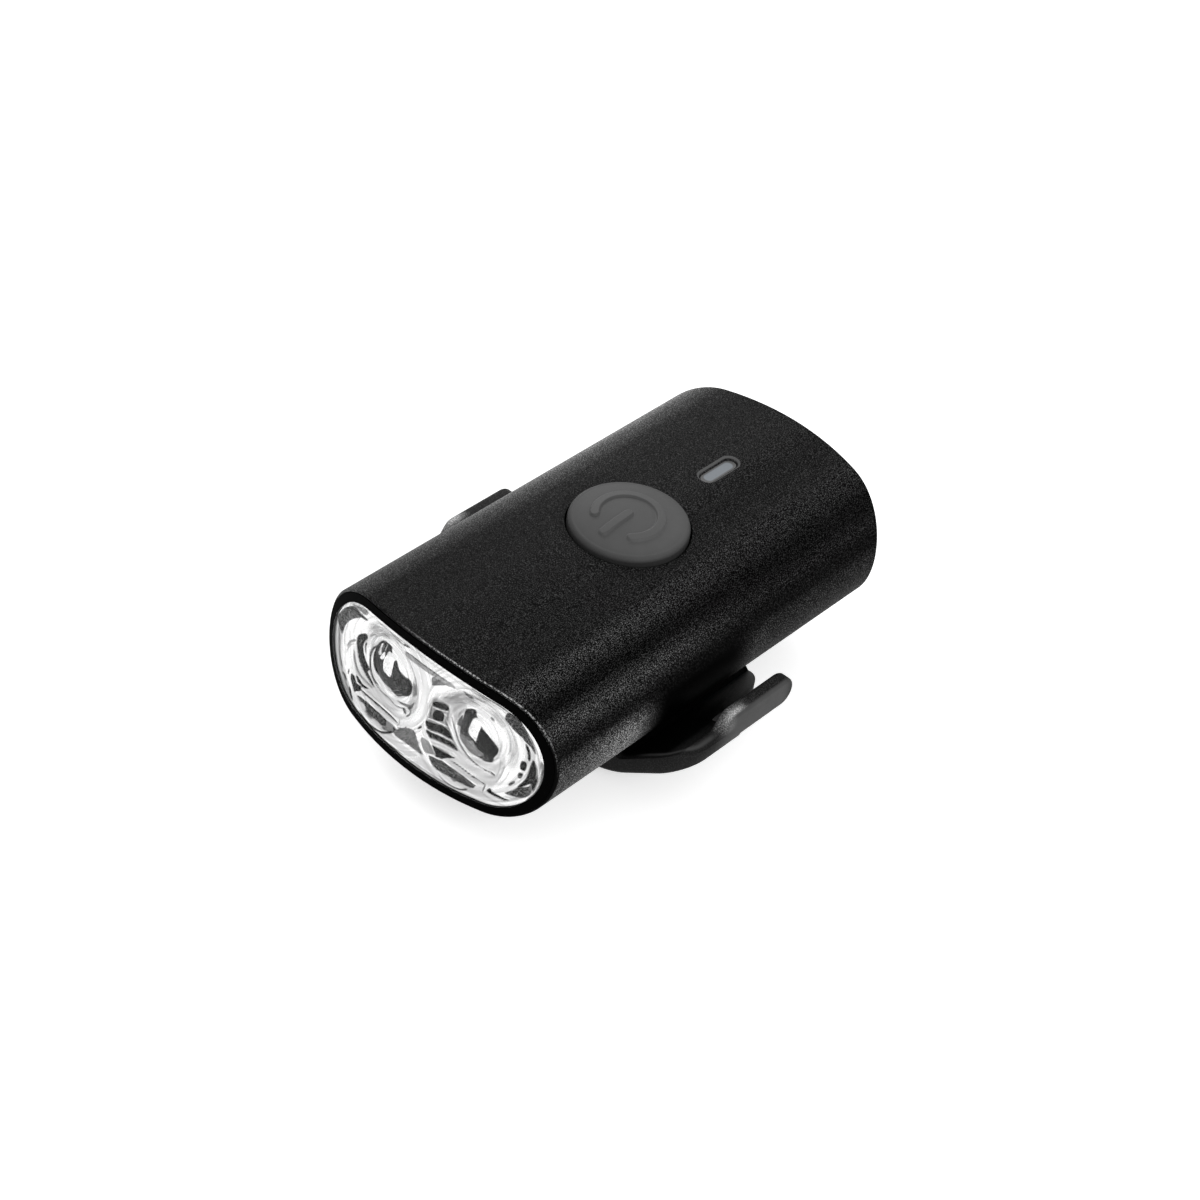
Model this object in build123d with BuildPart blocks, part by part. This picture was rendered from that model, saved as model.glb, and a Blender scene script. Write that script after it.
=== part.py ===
from build123d import *
import os
from math import asin, cos, radians, sin, sqrt, tan

# Small helmet light: an oval aluminium tube closed by a lens bezel at the front and a cap
# at the rear, on a plastic base with two strap hooks. Millimetres, +Z up, the beam along -Y.
# The origin is on the surface that the light stands on, under the middle of its outline.

os.makedirs("parts", exist_ok=True)

# Driving sizes of the body
body_length = 71.8
body_width = 40.0
body_height = 20.4
side_radius = 9.6
wall = 1.6
front_bow = 3.7
rear_bow = 4.0
front_rake = 4.9
rear_rake = 6.6
axis_height = 16.6

# Ends of the tube: a thin lip round a rebate that takes a bezel or a cap
lip = 0.35
fit_gap = 0.05
rebate_depth = 3.0
rim_chamfer = 0.2
gasket_thickness = 0.4
bezel_proud = 0.15
bezel_band = 1.6
spigot_thickness = 0.95
spigot_depth = 7.0

# Button, on the middle of the top
button_back = 37.6
button_radius = 8.15
button_gap = 0.3
button_rise = 1.0
button_crown = 1.1
button_travel = 0.4

# Indicator slot, behind the button
indicator_back = 56.0
indicator_length = 6.6
indicator_width = 2.0
indicator_bevel = 0.42
indicator_recess = 0.45

# Optics, side by side behind the window
optic_x = 7.8
collimator_radius = 5.3
bump_radius = 3.8
cup_radius = 6.9

# Base with its strap hooks
base_front = 22.0
base_rear = 50.2
base_bottom = -15.6
base_front_corner = 4.6
base_rear_corner = 12.0
hook_x = 25.93
hook_thickness = 2.2
hook_top = -2.03
hook_bottom = -6.41
hook_tip = 44.0
slot_inner_x = 21.4
slot_front = 32.5
slot_rounding = 1.0
pad_thickness = 1.8
pad_recess = 0.8

# Values that follow from the sizes above
half_width = body_width / 2
half_height = body_height / 2
rake_front = tan(radians(front_rake))
rake_rear = tan(radians(rear_rake))
front_reach = bezel_proud + rake_front * (half_height - lip - fit_gap)
rear_reach = rake_rear * half_height
front_y = -(body_length + rear_reach - front_reach) / 2
rear_y = front_y + body_length
reach = body_length + 40
far = 200.0


def back(distance):
    """Y of a place that lies this far behind the middle of the front face."""
    return front_y + distance


def up(height):
    """Z of a place that lies this far above the middle line of the tube."""
    return axis_height + height


def across(distance):
    """Upright plane across the tube, its local Y pointing up and its normal to the front."""
    return Plane(origin=(0, back(distance), axis_height), x_dir=(1, 0, 0), z_dir=(0, -1, 0))


def level(height):
    """Level plane this far above the middle line of the tube."""
    return Plane.XY.offset(up(height))


def oval(inset):
    """Cross-section of the tube, drawn in by inset: two round sides, a low crown above and below."""
    a = half_width - inset
    b = half_height - inset
    r = side_radius - inset
    side = a - r
    crown = (side**2 + b**2 - r**2) / (2 * (b - r))
    tilt = asin(side / (crown - r))
    tx = crown * sin(tilt)
    tz = b - crown + crown * cos(tilt)
    with BuildSketch() as shape:
        with BuildLine():
            ThreePointArc((-tx, tz), (0, b), (tx, tz))
            ThreePointArc((tx, tz), (a, 0), (tx, -tz))
            ThreePointArc((tx, -tz), (0, -b), (-tx, -tz))
            ThreePointArc((-tx, -tz), (-a, 0), (-tx, tz))
        make_face()
    return shape.sketch


def ring(outer_inset, inner_inset):
    """Oval ring between two insets."""
    outer = oval(outer_inset)
    inner = oval(inner_inset)
    with BuildSketch() as shape:
        add(outer)
        add(inner, mode=Mode.SUBTRACT)
    return shape.sketch


def end_slice(end, near, deep):
    """Curved slice of space between two depths, measured inwards from an end face."""
    middle, rake, bow, inwards = end
    radius = (half_width**2 + bow**2) / (2 * bow)
    span = half_width + 8
    sag = radius - sqrt(radius**2 - span**2)
    plane = Plane(origin=(0, middle, axis_height), x_dir=(1, 0, 0), z_dir=(0, sin(rake), cos(rake)))
    near_y = inwards * near
    deep_y = inwards * deep
    bend = inwards * sag
    with BuildPart() as piece:
        with BuildSketch(plane):
            with BuildLine():
                ThreePointArc((-span, near_y + bend), (0, near_y), (span, near_y + bend))
                Line((span, near_y + bend), (span, deep_y + bend))
                ThreePointArc((span, deep_y + bend), (0, deep_y), (-span, deep_y + bend))
                Line((-span, deep_y + bend), (-span, near_y + bend))
            make_face()
        extrude(amount=2 * body_height, both=True)
    return piece.part


def tube_piece(profile, *regions):
    """The profile run along the whole tube, kept only where it lies in every region."""
    with BuildPart() as piece:
        with BuildSketch(across(body_length + 20)):
            add(profile)
        extrude(amount=reach)
        for region in regions:
            add(region, mode=Mode.INTERSECT)
    return piece.part


def outer_rim(edge):
    """True for an edge where the tube's outer skin meets one of its ends."""
    place = edge.center()
    outside = max(abs(place.X) - half_width, abs(place.Z - axis_height) - half_height)
    return outside > -0.05 and edge.length > half_width and abs(place.Y) > half_width


def rim_edges(faces):
    """Edges round the area that these faces cover together: those that only one face has."""
    edges = [edge for face in faces for edge in face.edges()]
    places = [tuple(round(value, 3) for value in edge.center()) for edge in edges]
    return [edge for edge, place in zip(edges, places) if places.count(place) == 1]


def finish(part, name):
    """Label a finished piece and write it."""
    part.label = name
    export_step(part, "parts/" + name + ".step")


front_end = (front_y, radians(front_rake), front_bow, 1)
rear_end = (rear_y, radians(rear_rake), rear_bow, -1)


# Body shell: the extruded tube with its bowed ends, button hole, indicator slot and base holes
mount_screw_backs = (31.0, 43.0)
mount_screw_radius = 1.45
shell_tube = tube_piece(ring(0, wall), end_slice(front_end, 0, far), end_slice(rear_end, 0, far))
front_rebate = tube_piece(oval(lip), end_slice(front_end, -5, rebate_depth))
rear_rebate = tube_piece(oval(lip), end_slice(rear_end, -5, rebate_depth))
with BuildPart() as body_shell:
    add(shell_tube)
    add(front_rebate, mode=Mode.SUBTRACT)
    add(rear_rebate, mode=Mode.SUBTRACT)
    with BuildSketch(level(half_height + 1)):
        with Locations((0, back(button_back))):
            Circle(button_radius + button_gap)
        with Locations((0, back(indicator_back))):
            SlotOverall(indicator_length, indicator_width, rotation=90)
    extrude(amount=-4, mode=Mode.SUBTRACT)
    with BuildSketch(level(half_height - indicator_bevel)):
        with Locations((0, back(indicator_back))):
            SlotOverall(indicator_length, indicator_width, rotation=90)
    extrude(amount=2 * indicator_bevel, taper=-45, mode=Mode.SUBTRACT)
    with BuildSketch(level(-half_height - 1)):
        with Locations(*[(0, back(place)) for place in mount_screw_backs]):
            Circle(mount_screw_radius + 0.15)
    extrude(amount=4, mode=Mode.SUBTRACT)
    chamfer(body_shell.edges().filter_by(outer_rim), length=rim_chamfer)
finish(body_shell.part, "body_shell")


# Front bezel: black ring in the front rebate, with a seat for the window and a spigot behind
seat_depth = rebate_depth - gasket_thickness
window_back = 2.0
seat_inset = wall + fit_gap + spigot_thickness
bezel_flange = tube_piece(ring(lip + fit_gap, bezel_band), end_slice(front_end, -bezel_proud, seat_depth))
bezel_seat = tube_piece(
    ring(lip + fit_gap, seat_inset), end_slice(front_end, window_back + 0.3, seat_depth)
)
bezel_spigot = tube_piece(
    ring(wall + fit_gap, seat_inset), end_slice(front_end, window_back + 0.3, spigot_depth)
)
with BuildPart() as front_bezel:
    add(bezel_flange)
    add(bezel_seat)
    add(bezel_spigot)
finish(front_bezel.part, "front_bezel")


# Gasket between the bezel and the shoulder of the front rebate
front_gasket_ring = tube_piece(
    ring(lip + fit_gap, wall), end_slice(front_end, seat_depth, rebate_depth)
)
with BuildPart() as front_gasket:
    add(front_gasket_ring)
finish(front_gasket.part, "front_gasket")


# Window: clear bowed front lens with a step behind it that drops into the seat, and two D-shaped
# pockets moulded into its back
window_front = -0.25
pocket_front = 0.9
pocket_top = -5.5
pocket_low = -8.2
pocket_half_width = 4.1
pocket_middles = (-8.0, 6.1)
window_plate = tube_piece(oval(bezel_band + fit_gap), end_slice(front_end, window_front, window_back))
window_step = tube_piece(
    ring(seat_inset + fit_gap, seat_inset + 0.7), end_slice(front_end, window_back, window_back + 0.5)
)


def pocket(middle):
    """Pocket with a flat top and a bowed bottom, from pocket_front to past the back of the window."""
    with BuildSketch() as outline:
        with BuildLine():
            Line((middle - pocket_half_width, pocket_top), (middle + pocket_half_width, pocket_top))
            ThreePointArc(
                (middle + pocket_half_width, pocket_top),
                (middle, pocket_low),
                (middle - pocket_half_width, pocket_top),
            )
        make_face()
        fillet(outline.vertices(), radius=0.6)
    return tube_piece(outline.sketch, end_slice(front_end, pocket_front, window_back + 0.6))


with BuildPart() as front_window:
    add(window_plate)
    add(window_step)
    for middle in pocket_middles:
        add(pocket(middle), mode=Mode.SUBTRACT)
finish(front_window.part, "front_window")


# Thin gasket under the rim of the window
window_gasket_ring = tube_piece(
    ring(bezel_band + fit_gap, seat_inset), end_slice(front_end, window_back, window_back + 0.3)
)
with BuildPart() as window_gasket:
    add(window_gasket_ring)
finish(window_gasket.part, "window_gasket")


# Optic plate: clear moulding round both optics, with a slot above
plate_front = 2.6
plate_back = 4.0
plate_blank = tube_piece(oval(seat_inset + 0.1), end_slice(front_end, plate_front, plate_back))
with BuildPart() as optic_plate:
    add(plate_blank)
    with BuildSketch(across(0)):
        with Locations((-optic_x, 0), (optic_x, 0)):
            Circle(collimator_radius + 0.1)
        with Locations((0, 6.0)):
            SlotOverall(7.4, 0.9)
    extrude(amount=-20, mode=Mode.SUBTRACT)
finish(optic_plate.part, "optic_plate")


# Collimators: clear cones, each with a raised middle lens and a hollow for its emitter
collimator_front = 3.6
collimator_back = 10.8
collimator_tail = 2.6
hollow_radius = 1.9
hollow_end = 9.0
hollow_crown = 0.5
bump_front = 3.2
bump_depth = 1.5


def cap_sag(radius, edge_radius, depth):
    """Drop of a round cap at this radius, where the whole cap drops by depth at its edge."""
    sphere = (edge_radius**2 + depth**2) / (2 * depth)
    return sphere - sqrt(sphere**2 - radius**2)


def collimator(x):
    """One clear optic turned about an axis along Y at this x."""
    axis_plane = Plane(origin=(x, back(0), axis_height), x_dir=(1, 0, 0), z_dir=(0, 0, 1))
    with BuildPart() as piece:
        with BuildSketch(axis_plane):
            with BuildLine():
                ThreePointArc(
                    (0, bump_front),
                    (bump_radius / 2, bump_front + cap_sag(bump_radius / 2, bump_radius, bump_depth)),
                    (bump_radius, bump_front + bump_depth),
                )
                Line((bump_radius, bump_front + bump_depth), (bump_radius + 0.5, collimator_front))
                Line((bump_radius + 0.5, collimator_front), (collimator_radius, collimator_front))
                Line((collimator_radius, collimator_front), (collimator_radius, 4.6))
                ThreePointArc((collimator_radius, 4.6), (4.35, 7.6), (collimator_tail, collimator_back))
                Line((collimator_tail, collimator_back), (hollow_radius, collimator_back))
                Line((hollow_radius, collimator_back), (hollow_radius, hollow_end))
                ThreePointArc(
                    (hollow_radius, hollow_end),
                    (
                        hollow_radius / 2,
                        hollow_end - hollow_crown + cap_sag(hollow_radius / 2, hollow_radius, hollow_crown),
                    ),
                    (0, hollow_end - hollow_crown),
                )
                Line((0, hollow_end - hollow_crown), (0, bump_front))
            make_face()
        revolve(axis=Axis((x, back(0), axis_height), (0, 1, 0)))
    return piece.part


with BuildPart() as collimator_left:
    add(collimator(-optic_x))
finish(collimator_left.part, "collimator_left")
with BuildPart() as collimator_right:
    add(collimator(optic_x))
finish(collimator_right.part, "collimator_right")


# Reflector tray: bright moulding with a cup round each optic and room for the board screws
tray_front = 4.2
board_front = 11.6
board_screw_z = 4.6
cup_floor_radius = 3.4
cup_start = 3.4
tray_blank = tube_piece(oval(seat_inset + 0.15), end_slice(front_end, tray_front, far))
with BuildPart() as reflector_tray:
    add(tray_blank)
    with BuildSketch(across(board_front)):
        Rectangle(2 * body_width, 2 * body_width)
    extrude(amount=-reach, mode=Mode.SUBTRACT)
    for x in (-optic_x, optic_x):
        with BuildSketch(across(cup_start)):
            with Locations((x, 0)):
                Circle(cup_radius)
        with BuildSketch(across(board_front)):
            with Locations((x, 0)):
                Circle(cup_floor_radius)
        loft(mode=Mode.SUBTRACT)
    with BuildSketch(across(board_front)):
        with Locations((0, -board_screw_z), (0, board_screw_z)):
            Circle(2.1)
    extrude(amount=1.5, mode=Mode.SUBTRACT)
finish(reflector_tray.part, "reflector_tray")


# Board that carries the two emitters
board_back = 12.8
screw_shank = 0.95
lead_x = 5.0
lead_z = 6.0
with BuildPart() as led_board:
    with BuildSketch(across(board_front)):
        add(oval(seat_inset - 0.4))
        with Locations((0, -board_screw_z), (0, board_screw_z)):
            Circle(screw_shank + 0.1, mode=Mode.SUBTRACT)
    extrude(amount=-(board_back - board_front))
finish(led_board.part, "led_board")


# Emitters: square base and clear dome
emitter_side = 3.45
emitter_base = 0.7
dome_radius = 1.4


def emitter(x):
    """One emitter on the board at this x."""
    centre = (x, back(board_front - emitter_base), axis_height)
    with BuildPart() as piece:
        with BuildSketch(across(board_front)):
            with Locations((x, 0)):
                Rectangle(emitter_side, emitter_side)
        extrude(amount=emitter_base)
        with Locations(Location(centre)):
            Sphere(dome_radius)
        with BuildSketch(across(board_front)):
            Rectangle(2 * body_width, 2 * body_width)
        extrude(amount=-10, mode=Mode.SUBTRACT)
    return piece.part


with BuildPart() as led_left:
    add(emitter(-optic_x))
finish(led_left.part, "led_left")
with BuildPart() as led_right:
    add(emitter(optic_x))
finish(led_right.part, "led_right")


# Heat plate: aluminium slab that passes the board's heat to the tube
heat_back = 15.8
with BuildPart() as heat_plate:
    with BuildSketch(across(board_back)):
        add(oval(wall + fit_gap))
        with Locations((0, -board_screw_z), (0, board_screw_z)):
            Circle(screw_shank + 0.02, mode=Mode.SUBTRACT)
        with Locations((lead_x, lead_z)):
            SlotOverall(4.0, 1.8, mode=Mode.SUBTRACT)
    extrude(amount=-(heat_back - board_back))
finish(heat_plate.part, "heat_plate")


# Screws that hold the emitter board to the heat plate
with BuildPart() as led_board_screws:
    for z in (-board_screw_z, board_screw_z):
        with BuildSketch(across(board_front)):
            with Locations((0, z)):
                Circle(1.9)
        extrude(amount=1.2)
        with BuildSketch(across(board_front)):
            with Locations((0, z)):
                Circle(screw_shank)
        extrude(amount=-3.6)
        with BuildSketch(across(board_front - 1.2)):
            with Locations((0, z)):
                RegularPolygon(0.75, 6)
        extrude(amount=-0.8, mode=Mode.SUBTRACT)
finish(led_board_screws.part, "led_board_screws")


# Chassis: inner plastic tray for the cell, with ledges for the main board and bosses behind
chassis_front = 15.9
chassis_wide_end = 62.5
chassis_back = 66.2
chassis_floor = -6.45
chassis_top = 3.2
cell_well = 14.6
cell_width = 28.0
cell_length = 41.0
cell_middle = 40.9
rear_screw_x = 12.5
rear_screw_z = -2.0
board_hole_x = 11.0
board_hole_backs = (18.2, 64.6)
with BuildPart() as chassis_tray:
    with BuildSketch(across(chassis_front)):
        add(oval(wall + 0.1))
    extrude(amount=-(chassis_wide_end - chassis_front))
    with BuildSketch(across(chassis_wide_end)):
        with Locations((0, (chassis_top - 5.4) / 2)):
            Rectangle(28.0, chassis_top + 5.4)
    extrude(amount=-(chassis_back - chassis_wide_end))
    with BuildSketch(level(chassis_top)):
        Rectangle(body_width, 2 * body_length)
    extrude(amount=body_height, mode=Mode.SUBTRACT)
    with BuildSketch(level(chassis_floor)):
        Rectangle(body_width, 2 * body_length)
    extrude(amount=-body_height, mode=Mode.SUBTRACT)
    with BuildSketch(level(chassis_floor + 1.05)):
        with Locations((0, back(cell_middle))):
            Rectangle(2 * cell_well, cell_length + 1.0)
    extrude(amount=body_height, mode=Mode.SUBTRACT)
    with BuildSketch(across(chassis_back)):
        with Locations((-rear_screw_x, rear_screw_z), (rear_screw_x, rear_screw_z)):
            Circle(screw_shank + 0.02)
    extrude(amount=3.6, mode=Mode.SUBTRACT)
    with BuildSketch(level(chassis_top)):
        with Locations(*[(x, back(y)) for x in (-board_hole_x, board_hole_x) for y in board_hole_backs]):
            Circle(0.82)
    extrude(amount=-3.4, mode=Mode.SUBTRACT)
finish(chassis_tray.part, "chassis_tray")


# Cell: flat pouch with rounded long edges, and the foam pad on top of it
cell_bottom = -5.3
cell_height = 6.5
with BuildPart() as battery_cell:
    with BuildSketch(across(cell_middle - cell_length / 2)):
        with Locations((0, cell_bottom + cell_height / 2)):
            RectangleRounded(cell_width, cell_height, 2.2)
    extrude(amount=-cell_length)
finish(battery_cell.part, "battery_cell")

foam_front = 23.0
foam_length = 30.0
foam_thickness = 0.9
cell_top = cell_bottom + cell_height
with BuildPart() as battery_foam:
    with BuildSketch(level(cell_top)):
        with Locations((0, back(foam_front + foam_length / 2))):
            Rectangle(20.0, foam_length)
    extrude(amount=foam_thickness)
finish(battery_foam.part, "battery_foam")


# Main board, screwed to the chassis
main_bottom = chassis_top
main_thickness = 1.0
main_top = main_bottom + main_thickness
main_front = 16.4
main_back = 65.9
board_tongue_back = 68.0
cell_lead_x = (-4.4, -6.0)
cell_lead_back = 58.0
with BuildPart() as main_board:
    with BuildSketch(level(main_bottom)):
        with Locations((0, back((main_front + main_back) / 2))):
            RectangleRounded(30.4, main_back - main_front, 1.5)
        with Locations((0, back((main_back + board_tongue_back) / 2 - 1))):
            Rectangle(11.0, board_tongue_back - main_back + 2)
        with Locations(*[(x, back(y)) for x in (-board_hole_x, board_hole_x) for y in board_hole_backs]):
            Circle(0.95, mode=Mode.SUBTRACT)
        with Locations(*[(x, back(cell_lead_back)) for x in cell_lead_x]):
            Circle(0.65, mode=Mode.SUBTRACT)
    extrude(amount=main_thickness)
finish(main_board.part, "main_board")

with BuildPart() as board_screws:
    for x in (-board_hole_x, board_hole_x):
        for y in board_hole_backs:
            with BuildSketch(level(main_top)):
                with Locations((x, back(y))):
                    Circle(1.5)
            extrude(amount=0.9)
            with BuildSketch(level(main_top)):
                with Locations((x, back(y))):
                    Circle(0.8)
            extrude(amount=-4.0)
            with BuildSketch(level(main_top + 0.9)):
                with Locations((x, back(y))):
                    Rectangle(1.8, 0.4)
                    Rectangle(0.4, 1.8)
            extrude(amount=-0.4, mode=Mode.SUBTRACT)
finish(board_screws.part, "board_screws")


# Parts on the main board: coil, chips, capacitors and the socket for the cell's leads
with BuildPart() as driver_coil:
    with BuildSketch(level(main_top)):
        with Locations((-9.0, back(25.0))):
            RectangleRounded(6.0, 6.0, 1.2)
    extrude(amount=2.8)
finish(driver_coil.part, "driver_coil")

chip_places = ((8.5, 25.0, 5.0, 5.0, 0.9), (-9.6, 50.5, 4.9, 3.9, 1.5), (9.0, 50.0, 4.0, 4.0, 0.9))
with BuildPart() as control_chips:
    for x, y, width, length, height in chip_places:
        with BuildSketch(level(main_top)):
            with Locations((x, back(y))):
                Rectangle(width, length)
        extrude(amount=height)
finish(control_chips.part, "control_chips")

capacitor_places = ((0.0, 21.4), (3.2, 25.6), (-3.2, 25.6), (12.2, 56.5), (7.2, 57.5))
with BuildPart() as board_capacitors:
    for x, y in capacitor_places:
        with BuildSketch(level(main_top)):
            with Locations((x, back(y))):
                Rectangle(1.6, 3.2)
        extrude(amount=1.5)
finish(board_capacitors.part, "board_capacitors")

plug_x = -9.4
with BuildPart() as cell_lead_socket:
    with BuildSketch(level(main_top)):
        with Locations((plug_x, back(cell_lead_back))):
            Rectangle(3.2, 4.2)
    extrude(amount=2.8)
finish(cell_lead_socket.part, "cell_lead_socket")


# Insulated leads: two from the cell up to its socket, two from the emitter board to the main board
lead_radius = 0.5


def lead(points, bend):
    """Round lead along a path of straight runs with one tangent bend."""
    with BuildPart() as piece:
        with BuildLine():
            path = FilletPolyline(*points, radius=bend)
        with BuildSketch(Plane(origin=path @ 0, z_dir=path % 0)):
            Circle(lead_radius)
        sweep()
    return piece.part


cell_lead_level = up(main_top + 1.6)
cell_lead_low = up(cell_top)
socket_side = plug_x + 1.6
red_points = (
    (cell_lead_x[1], back(cell_lead_back), cell_lead_low),
    (cell_lead_x[1], back(cell_lead_back), cell_lead_level),
    (socket_side, back(cell_lead_back), cell_lead_level),
)
black_points = (
    (cell_lead_x[0], back(cell_lead_back), cell_lead_low),
    (cell_lead_x[0], back(cell_lead_back), cell_lead_level + 0.01),
    (cell_lead_x[0], back(cell_lead_back + 3.4), cell_lead_level + 0.01),
)
with BuildPart() as cell_lead_red:
    add(lead(red_points, 0.8))
finish(cell_lead_red.part, "cell_lead_red")
with BuildPart() as cell_lead_black:
    add(lead(black_points, 0.8))
finish(cell_lead_black.part, "cell_lead_black")

emitter_lead_backs = (board_back, 19.2)


def emitter_lead(x):
    """Lead through the heat plate and down to the main board at this x."""
    points = (
        (x, back(emitter_lead_backs[0]), up(lead_z)),
        (x, back(emitter_lead_backs[1]), up(lead_z)),
        (x, back(emitter_lead_backs[1]), up(main_top)),
    )
    return lead(points, 0.8)


with BuildPart() as emitter_lead_red:
    add(emitter_lead(lead_x + 0.8))
finish(emitter_lead_red.part, "emitter_lead_red")
with BuildPart() as emitter_lead_black:
    add(emitter_lead(lead_x - 0.8))
finish(emitter_lead_black.part, "emitter_lead_black")


# Push switch on the main board, with the plunger that the button presses
switch_side = 6.0
switch_height = 2.8
switch_top = main_top + switch_height
plunger_radius = 1.6
plunger_top = switch_top + 0.7
plunger_low = switch_top - 0.7
with BuildPart() as switch_body:
    with BuildSketch(level(main_top)):
        with Locations((0, back(button_back))):
            Rectangle(switch_side, switch_side)
    extrude(amount=switch_height)
    with BuildSketch(level(switch_top)):
        with Locations((0, back(button_back))):
            Circle(plunger_radius + 0.15)
    extrude(amount=-(0.7 + button_travel + 0.2), mode=Mode.SUBTRACT)
finish(switch_body.part, "switch_body")
with BuildPart() as switch_plunger:
    with BuildSketch(level(plunger_low)):
        with Locations((0, back(button_back))):
            Circle(plunger_radius)
    extrude(amount=plunger_top - plunger_low)
finish(switch_plunger.part, "switch_plunger")


# Button seat: collar on the main board that carries the rubber button's flange when it is pressed
flange_low = 7.2
with BuildPart() as button_seat:
    with BuildSketch(level(main_top)):
        with Locations((0, back(button_back))):
            Circle(9.4)
            Circle(7.5, mode=Mode.SUBTRACT)
    extrude(amount=flange_low - button_travel - 0.2 - main_top)
finish(button_seat.part, "button_seat")


# Power button: domed rubber cap with a raised on-off sign, a flange inside the wall and a boss below
shoulder = half_height + button_rise
dome_top = shoulder + button_crown
round_over = 0.8
flange_radius = 9.3
flange_high = 8.0
skin = 1.4
sign_radius = 4.4
sign_width = 1.4
sign_height = 0.22
sign_gap = 48
sign_forward = 0.4
face_radius = button_radius - round_over
dome_radius_large = (face_radius**2 + button_crown**2) / (2 * button_crown)
button_plane = Plane(origin=(0, back(button_back), axis_height), x_dir=(1, 0, 0), z_dir=(0, -1, 0))
button_axis = Axis((0, back(button_back), 0), (0, 0, 1))


def dome_height(radius):
    """Height of the button's domed face at this distance from its middle."""
    return dome_top - dome_radius_large + sqrt(dome_radius_large**2 - radius**2)


def sign_outline():
    """On-off sign: an open ring with round ends and a bar through its gap."""
    outer = sign_radius + sign_width / 2
    inner = sign_radius - sign_width / 2
    first = radians(-90 + sign_gap)
    last = radians(270 - sign_gap)
    cap = sign_width / 2

    def spot(radius, angle, ahead=0.0):
        """Point at this radius and angle, moved ahead along the ring."""
        x = radius * cos(angle) - ahead * sin(angle)
        y = radius * sin(angle) + ahead * cos(angle)
        return (x, y)

    with BuildSketch() as shape:
        with BuildLine():
            ThreePointArc(spot(outer, first), (0, outer), spot(outer, last))
            ThreePointArc(spot(outer, last), spot(sign_radius, last, cap), spot(inner, last))
            ThreePointArc(spot(inner, last), (0, inner), spot(inner, first))
            ThreePointArc(spot(inner, first), spot(sign_radius, first, -cap), spot(outer, first))
        make_face()
    with BuildSketch() as bar:
        with Locations((0, -2.5)):
            SlotOverall(6.0, sign_width, rotation=90)
    with BuildSketch() as sign:
        add(shape.sketch)
        add(bar.sketch)
    return sign.sketch


with BuildPart() as sign_prism:
    with BuildSketch(level(shoulder)):
        with Locations((0, back(button_back - sign_forward))):
            add(sign_outline())
    extrude(amount=5)
with BuildPart() as sign_dome:
    with BuildSketch(button_plane):
        with BuildLine():
            Line((0, shoulder - 1), (0, dome_top + sign_height))
            ThreePointArc(
                (0, dome_top + sign_height),
                (face_radius / 2, dome_height(face_radius / 2) + sign_height),
                (face_radius, shoulder + sign_height),
            )
            Line((face_radius, shoulder + sign_height), (face_radius, shoulder - 1))
            Line((face_radius, shoulder - 1), (0, shoulder - 1))
        make_face()
    revolve(axis=button_axis)
    add(sign_prism.part, mode=Mode.INTERSECT)

with BuildPart() as power_button:
    with BuildSketch(button_plane):
        with BuildLine():
            ThreePointArc(
                (0, dome_top), (face_radius / 2, dome_height(face_radius / 2)), (face_radius, shoulder)
            )
            ThreePointArc(
                (face_radius, shoulder),
                (face_radius + round_over * sin(radians(50)), shoulder - round_over * 0.36),
                (button_radius, shoulder - round_over),
            )
            Line((button_radius, shoulder - round_over), (button_radius, flange_high))
            Line((button_radius, flange_high), (flange_radius, flange_high))
            Line((flange_radius, flange_high), (flange_radius, flange_low))
            Line((flange_radius, flange_low), (button_radius - skin, flange_low))
            Line((button_radius - skin, flange_low), (button_radius - skin, shoulder - skin))
            Line((button_radius - skin, shoulder - skin), (2.4, shoulder - skin))
            Line((2.4, shoulder - skin), (2.0, plunger_top))
            Line((2.0, plunger_top), (0, plunger_top))
            Line((0, plunger_top), (0, dome_top))
        make_face()
    revolve(axis=button_axis)
    add(sign_dome.part)
finish(power_button.part, "power_button")


# Indicator: small emitter on the board and a clear light pipe held under the slot
with BuildPart() as indicator_emitter:
    with BuildSketch(level(main_top)):
        with Locations((0, back(indicator_back))):
            Rectangle(1.6, 3.2)
    extrude(amount=0.8)
finish(indicator_emitter.part, "indicator_emitter")

pipe_top = half_height - indicator_recess
wall_under = half_height - wall
with BuildPart() as light_pipe:
    with BuildSketch(level(main_top + 1.1)):
        with Locations((0, back(indicator_back))):
            SlotOverall(5.0, 2.4, rotation=90)
    extrude(amount=wall_under - 1.0 - main_top - 1.1)
    with BuildSketch(level(wall_under - 1.0)):
        with Locations((0, back(indicator_back))):
            SlotOverall(8.4, 3.8, rotation=90)
    extrude(amount=0.95)
    with BuildSketch(level(wall_under - 0.05)):
        with Locations((0, back(indicator_back))):
            SlotOverall(indicator_length - 0.1, indicator_width - 0.1, rotation=90)
    extrude(amount=pipe_top - wall_under + 0.05)
finish(light_pipe.part, "light_pipe")


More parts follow.
